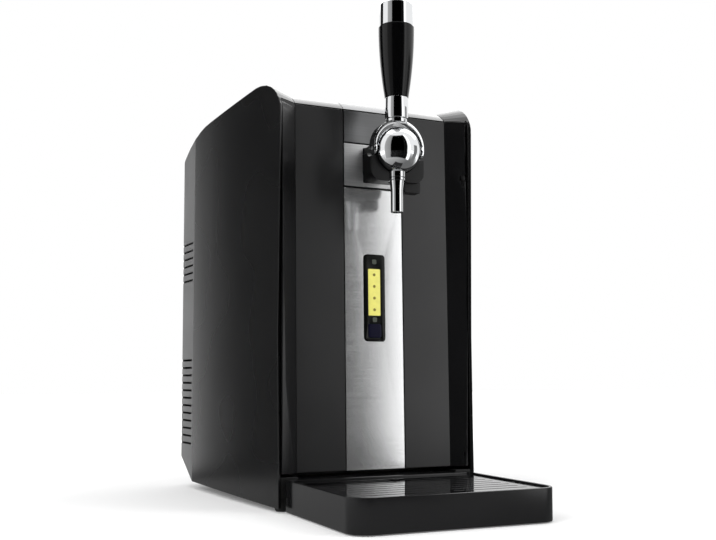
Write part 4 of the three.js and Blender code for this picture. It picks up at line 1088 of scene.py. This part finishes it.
@dataclass
class Tap(Assembly):
    """The ball with its shank, the spout under it and the bracket behind it."""

    bracket_rounding: float = 0.5 * MM
    bore: float = 4.4 * MM
    bore_depth: float = 24 * MM
    lip: float = 0.5 * MM
    collar_height: float = 3 * MM
    taper_end: float = 12 * MM
    waist: float = 6.1 * MM
    neck: float = 7.2 * MM
    neck_end: Span = (0.97, 0.35)  # as shares of the neck and of the taper's end
    shank: float = 7.8 * MM
    ball_sides: int = 96
    sides: int = 64

    def build(self) -> None:
        """Builds the ball and spout, then finishes the bracket and the pins."""
        self.ball()
        self.spout()
        carry("tap_bracket", BRACKET_BLACK, Slot.BLACK, self.bracket_rounding)
        for side in ("left", "right"):
            carry(f"lever_pin_{side}", STEEL, Slot.STEEL)

    def ball(self) -> None:
        """The polished ball, with the boss for the spout and the shank into the door."""
        centre = joint_place("tap_lever")
        body = Box.of("tap_body")
        boss = Box.of("spout").size.x / 2
        made = Workpiece.globe("tap_ball", body.high.x, centre, self.ball_sides)
        foot = Vector((centre.x, centre.y, body.low.z))
        drop = centre.z - body.low.z
        boss_profile = [(boss - self.lip, 0), (boss, self.lip), (boss, drop - self.lip)]
        made.joined(Workpiece.turned("tap_boss", boss_profile, foot, segments=self.sides))
        shank_profile = [(self.shank, 0), (self.shank, body.high.y - centre.y)]
        made.joined(Workpiece.turned("tap_shank", shank_profile, centre, Axis.Y, self.sides))
        made.smooth(even=False).fit(CHROME, Slot.CHROME, Body.DOOR, "tap_body")

    def spout(self) -> None:
        """The spout: a collar, a waist and a bored end with a rolled lip."""
        box = Box.of("spout")
        collar = box.size.x / 2
        length = box.size.z
        profile = [
            (collar - self.lip, 0),
            (collar, -self.lip),
            (collar, self.lip - self.collar_height),
            (collar - self.lip, -self.collar_height),
            (self.neck, -self.collar_height),
            (self.neck * self.neck_end[0], -self.neck_end[1] * self.taper_end),
            (self.waist, -self.taper_end),
            (self.waist, self.lip - length),
            (self.waist - self.lip / 2, self.lip / 4 - length),
            (self.waist - self.lip, -length),
            (self.bore, -length),
            (self.bore, self.bore_depth - length),
        ]
        centre = Vector((0, joint_place("tap_lever").y, box.high.z))
        made = Workpiece.turned("tap_spout", profile, centre, segments=self.sides)
        made.smooth(even=False).fit(CHROME, Slot.CHROME, Body.DOOR, "spout")


@dataclass
class Lever(Assembly):
    """The lever: a hoop over the ball, a ferrule, a flared grip and a cap."""

    hoop_rounding: float = 0.3 * MM
    edge: float = 0.8 * MM
    edge_steps: int = 4
    ferrule_sides: int = 64
    flare: float = 2.0
    stations: int = 28
    grip_foot: float = 11.6 * MM
    grip_sides: int = 72
    rim: float = 2.4 * MM
    rim_steps: int = 8
    dome_height: float = 0.16 * MM
    dome_share: float = 0.5  # how much of the cap's radius its flat top takes

    def build(self) -> None:
        """Builds the lever from the ball up."""
        carry("lever_yoke", CHROME, Slot.CHROME, self.hoop_rounding)
        self.ferrule()
        self.grip()
        self.cap()

    def turn(
        self, node: str, profile: Sequence[Station], sides: int, finish: Finish, slot: Slot
    ) -> None:
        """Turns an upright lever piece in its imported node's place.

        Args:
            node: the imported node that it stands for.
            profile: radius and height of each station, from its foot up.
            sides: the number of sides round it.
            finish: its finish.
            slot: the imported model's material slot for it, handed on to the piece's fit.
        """
        foot = Vector((0, joint_place("tap_lever").y, Box.of(node).low.z))
        made = Workpiece.turned(f"{node}_turned", profile, foot, segments=sides)
        made.smooth(even=False).fit(finish, slot, Body.LEVER, node)

    def ferrule(self) -> None:
        """A short cylinder with a quarter round at both ends."""
        size = Box.of("lever_ferrule").size
        r = self.edge
        middle = size.x / 2 - r
        angles = quarter_turn(self.edge_steps)
        low = [(middle + r * math.sin(a), r - r * math.cos(a)) for a in angles]
        high = [(middle + r * math.cos(a), size.z - r + r * math.sin(a)) for a in angles]
        self.turn("lever_ferrule", low + high, self.ferrule_sides, CHROME, Slot.CHROME)

    def grip(self) -> None:
        """The black grip, which flares out towards its top."""
        size = Box.of("lever_grip").size
        top = size.x / 2
        profile = []
        for i in range(self.stations + 1):
            share = i / self.stations
            radius = top + (self.grip_foot - top) * (1 - share) ** self.flare
            profile.append((radius, size.z * share))
        self.turn("lever_grip", profile, self.grip_sides, GRIP_BLACK, Slot.GLOSS)

    def cap(self) -> None:
        """The bright cap, slightly domed with a rounded rim."""
        size = Box.of("lever_cap").size
        radius = size.x / 2
        r = self.rim
        angles = quarter_turn(self.rim_steps)[:-1]
        profile = [
            (radius - self.edge, 0),
            (radius, self.edge),
            *((radius - r + r * math.cos(a), size.z - r + r * math.sin(a)) for a in angles),
            (radius - r, size.z - self.dome_height),
            (self.dome_share * radius, size.z),
        ]
        self.turn("lever_cap", profile, self.grip_sides, CHROME, Slot.CHROME)


@dataclass
class Lid(Assembly):
    """The lid's cover, the metal band over its middle, its lining and foam."""

    rounding: float = 0.5 * MM
    band_rounding: float = 0.3 * MM

    def build(self) -> None:
        """Finishes the lid from the cover in."""
        carry("lid_cover", LID_GLOSS, Slot.SHELL, self.rounding)
        carry("lid_band", BAND_METAL, Slot.DARK_METAL, self.band_rounding)
        carry("lid_lining", INNER_GREY, Slot.INNER, self.band_rounding)
        dress("lid_foam", FOAM)


@dataclass
class DripTray(Assembly):
    """The drip tray's pan and the slotted grid that lies in it."""

    pan_rounding: float = 0.7 * MM
    grid_rounding: float = 0.3 * MM

    def build(self) -> None:
        """Finishes the pan and the grid."""
        carry("drip_pan", TRAY_BLACK, Slot.GLOSS, self.pan_rounding)
        carry("drip_grid", GRID_GLOSS, Slot.GLOSS, self.grid_rounding)


# Studio


@dataclass(frozen=True)
class Lamp:
    """A soft area lamp that faces the object."""

    name: str
    place: Point
    width: float
    height: float
    power: float

    def hang(self, target: Vector) -> None:
        """Puts the lamp in its place.

        Args:
            target: the point that it is turned to.
        """
        data = bpy.data.lights.new(self.name, "AREA")
        data.shape = "RECTANGLE"
        data.size, data.size_y = self.width, self.height
        data.energy = self.power
        lamp = bpy.data.objects.new(self.name, data)
        lamp.location = self.place
        lamp.rotation_euler = (target - Vector(self.place)).to_track_quat("-Z", "Y").to_euler()
        lamp.visible_camera = False
        lamp.visible_glossy = False
        bpy.context.scene.collection.objects.link(lamp)


def glossy_only(piece: bpy.types.Object, glow: Callable[[NodeGraph], Socket | float]) -> None:
    """Makes a stage piece that glows and that only mirrors and gloss can see.

    Args:
        piece: the piece.
        glow: gives the level of its light, or the output that feeds it.
    """
    material = bpy.data.materials.new(piece.name)
    material.use_nodes = True
    graph = NodeGraph(material.node_tree)
    light = graph.add("Emission", {"Strength": glow(graph)})
    graph.feed(material.node_tree.nodes["Material Output"], {"Surface": light.outputs[0]})
    piece.data.materials.append(material)
    for ray in ("camera", "diffuse", "transmission", "volume_scatter", "shadow"):
        setattr(piece, f"visible_{ray}", False)


@dataclass(frozen=True)
class Card:
    """A card beyond the view that lies on the floor from its apron outwards and then stands up.

    Its bearings are degrees from straight ahead of the object, positive to the viewer's right, each
    with the level of its light.
    """

    name: str
    levels: Sequence[tuple[float, float]]
    distance: float
    height: float
    apron: float
    crest: float = 1.0  # the level at the top as a share of that at the foot
    fade: Span = (0.5, 0.75)  # where the level goes over to the crest's: 0.5 is the card's foot
    lift: float = 2 * MM
    columns: int = 24

    def stand(self) -> None:
        """Puts the card up, bent round the object."""
        first, last = (math.radians(self.levels[end][0]) for end in (0, -1))
        rows = {
            -1: (self.apron, self.lift),
            0: (self.distance, self.lift),
            1: (self.distance, self.height),
        }
        deselect()
        bpy.ops.mesh.primitive_grid_add(x_subdivisions=self.columns, y_subdivisions=2, size=2)
        card = bpy.context.active_object
        card.name = self.name
        for vertex in card.data.vertices:
            bearing = first + (last - first) * (vertex.co.x + 1) / 2
            radius, height = rows[round(vertex.co.y)]
            vertex.co = (radius * math.sin(bearing), -radius * math.cos(bearing), height)
        glossy_only(card, self.glow)

    def glow(self, graph: NodeGraph) -> Socket:
        """Spreads the levels of light across the card.

        Args:
            graph: the card's material.

        Returns:
            The level at each place.
        """
        flat = graph.add("SeparateXYZ", {0: graph.add("TexCoord").outputs["UV"]})
        ramp = graph.add("ValToRGB", {"Fac": flat.outputs["X"]})
        first, last = (self.levels[end][0] for end in (0, -1))
        peak = max(1.0, *(level for _, level in self.levels))
        elements = ramp.color_ramp.elements
        for i, (bearing, level) in enumerate(self.levels):
            place = (bearing - first) / (last - first)
            inner = 0 < i < len(self.levels) - 1
            element = elements.new(place) if inner else elements[-1 if i else 0]
            element.position = place
            element.color = (level / peak, level / peak, level / peak, 1)
        height = graph.spread(flat.outputs["Y"], self.fade, (peak, peak * self.crest))
        both = {0: ramp.outputs["Color"], 1: height}
        return graph.add("Math", both, operation="MULTIPLY").outputs[0]


@dataclass(frozen=True)
class Softbox:
    """A bright flat box overhead, which only shows in reflections."""

    name: str
    centre: Point
    width: float
    depth: float
    level: float

    def hang(self) -> None:
        """Puts the box up."""
        deselect()
        bpy.ops.mesh.primitive_plane_add(size=1, location=self.centre)
        box = bpy.context.active_object
        box.scale = (self.width, self.depth, 1)
        box.name = self.name
        glossy_only(box, lambda graph: self.level)


@dataclass(frozen=True)
class PaintedShadowMat:
    """Painted shadow on the floor close round the object: a darker disc that only reflections show."""

    name: str = "painted_floor_shadow"
    radius: float = 1.4
    inner: float = 0.3
    levels: Span = (0.16, 1.0)  # the painted shadow's level in the middle, and the level at the edge
    # set off to the right, so that the painted shadow is lighter to the tray's left: a painted highlight on the
    # tray's left corner
    centre: Point = (0.35, 0, 1 * MM)
    sides: int = 64

    def lay(self) -> None:
        """Puts the mat down."""
        deselect()
        bpy.ops.mesh.primitive_circle_add(
            vertices=self.sides, radius=self.radius, fill_type="NGON", location=self.centre
        )
        mat = bpy.context.active_object
        mat.name = self.name
        glossy_only(mat, self.glow)

    def glow(self, graph: NodeGraph) -> Socket:
        """The level of light from the middle outwards."""
        return graph.spread(graph.away(), (self.inner, self.radius), self.levels)


@dataclass
class Studio:
    """A pale floor, a white surround, soft lamps, cards for the reflections, and the camera."""

    floor_size: float = 14.0
    floor_shade: float = 0.86
    floor_lift: Span = (0.13, 0.75)  # near the object and far from it
    floor_span: Span = (0.3, 1.8)
    fill: float = 0.55
    aim: Point = (0, 0, 0.2)  # what the lamps are turned to
    eye: Point = (-0.4167, -0.9259, 0.1265)
    heading: float = 24.47  # degrees to the right of straight back
    tilt: float = 4.08
    roll: float = -0.07
    lens: float = 48.26
    sensor: float = 36.0
    shift: float = 0.0559
    lamps: Sequence[Lamp] = field(
        default_factory=lambda: (
            Lamp("lamp_left", (-1.9, -0.9, 1.5), width=1.4, height=1.6, power=26),
            Lamp("lamp_right", (1.8, -1.3, 1.3), width=1.2, height=1.6, power=20),
            Lamp("lamp_top", (0.1, 0.3, 2.3), width=2.2, height=2.2, power=26),
        )
    )
    cards: Sequence[Card] = field(
        default_factory=lambda: (
            Card(
                "card_front_black", ((-53, 0.0), (9, 0.0)), distance=1.7, height=3.0, apron=0.5
            ),
            Card(
                "card_front_grey",
                (
                    (-86, 1.0),
                    (-82, 0.42),
                    (-54, 0.3),
                    (-50, 0.06),
                    (21, 0.0),
                    (24, 0.03),
                    (26, 0.7),
                    (27.5, 1.6),
                    (34, 1.75),
                    (44, 1.0),
                ),
                distance=2.1,
                height=4.5,
                apron=0.45,
            ),
            Card(
                "card_left",
                ((-160, 2.4), (-156.5, 2.2), (-153.5, 0.85), (-150, 0.2), (-145, 0.0), (-118, 0.0)),
                distance=0.55,
                height=1.2,
                apron=0.3,
                crest=0.3,
            ),
            Card("card_right", ((60, 0.2), (84, 0.2)), distance=1.1, height=0.7, apron=0.5),
        )
    )
    softbox: Softbox = Softbox("softbox_top", (0.9, 1.6, 1.9), width=3.0, depth=3.4, level=2.5)
    # painted shadow on the floor round the object, which only reflections show
    mat: PaintedShadowMat = PaintedShadowMat()

    def build(self) -> None:
        """Sets up the whole studio."""
        self.surround()
        self.floor()
        for lamp in self.lamps:
            lamp.hang(Vector(self.aim))
        for card in self.cards:
            card.stand()
        self.softbox.hang()
        self.mat.lay()
        self.camera()
        bpy.context.scene.view_settings.view_transform = "Standard"

    def surround(self) -> None:
        """A white world as the camera, mirrors and glass see it, and a softer one as a light."""
        world = bpy.data.worlds.new("studio")
        world.use_nodes = True
        bpy.context.scene.world = world
        graph = NodeGraph(world.node_tree)
        soft = world.node_tree.nodes["Background"]
        graph.feed(soft, {"Color": WHITE, "Strength": self.fill})
        white = graph.add("Background", {"Color": WHITE, "Strength": 1})
        both = {0: graph.seen(), 1: soft.outputs[0], 2: white.outputs[0]}
        mixed = graph.add("MixShader", both)
        graph.feed(world.node_tree.nodes["World Output"], {"Surface": mixed.outputs[0]})

    def floor(self) -> None:
        """A pale floor that keeps the object's shadow and runs white into the surround."""
        deselect()
        bpy.ops.mesh.primitive_plane_add(size=self.floor_size)
        floor = bpy.context.active_object
        floor.name = "studio_floor"
        material = bpy.data.materials.new("floor_pale")
        material.use_nodes = True
        graph = NodeGraph(material.node_tree)
        matt = material.node_tree.nodes["Principled BSDF"]
        shade = (self.floor_shade, self.floor_shade, self.floor_shade, 1)
        graph.feed(matt, {"Base Color": shade, "Roughness": 1, "Specular IOR Level": 0})
        level = graph.spread(graph.away(), self.floor_span, self.floor_lift)
        lift = graph.add("Emission", {"Strength": level})
        lifted = graph.add("AddShader", {0: matt.outputs[0], 1: lift.outputs[0]})
        both = {0: graph.seen(), 1: matt.outputs[0], 2: lifted.outputs[0]}
        mixed = graph.add("MixShader", both)
        graph.feed(material.node_tree.nodes["Material Output"], {"Surface": mixed.outputs[0]})
        floor.data.materials.append(material)

    def camera(self) -> None:
        """The camera at the photograph's viewpoint."""
        data = bpy.data.cameras.new("camera")
        data.lens = self.lens
        data.sensor_width = self.sensor
        data.shift_y = self.shift
        camera = bpy.data.objects.new("camera", data)
        camera.location = self.eye
        turn = Matrix.Rotation(math.radians(-self.heading), 4, "Z")
        tilt = Matrix.Rotation(math.radians(90 + self.tilt), 4, "X")
        roll = Matrix.Rotation(math.radians(self.roll), 4, "Z")
        camera.rotation_euler = (turn @ tilt @ roll).to_euler()
        bpy.context.scene.collection.objects.link(camera)
        bpy.context.scene.camera = camera


def main() -> None:
    """Sets up the studio and builds the dispenser, one sub-assembly after another."""
    logging.basicConfig(level=logging.INFO, format="%(message)s")
    Studio().build()
    assemblies = (Cabinet(), Works(), Door(), Display(), Tap(), Lever(), Lid(), DripTray())
    for assembly in assemblies:
        assembly.build()
        LOG.info("%s built", type(assembly).__name__)


if __name__ == "__main__":
    main()
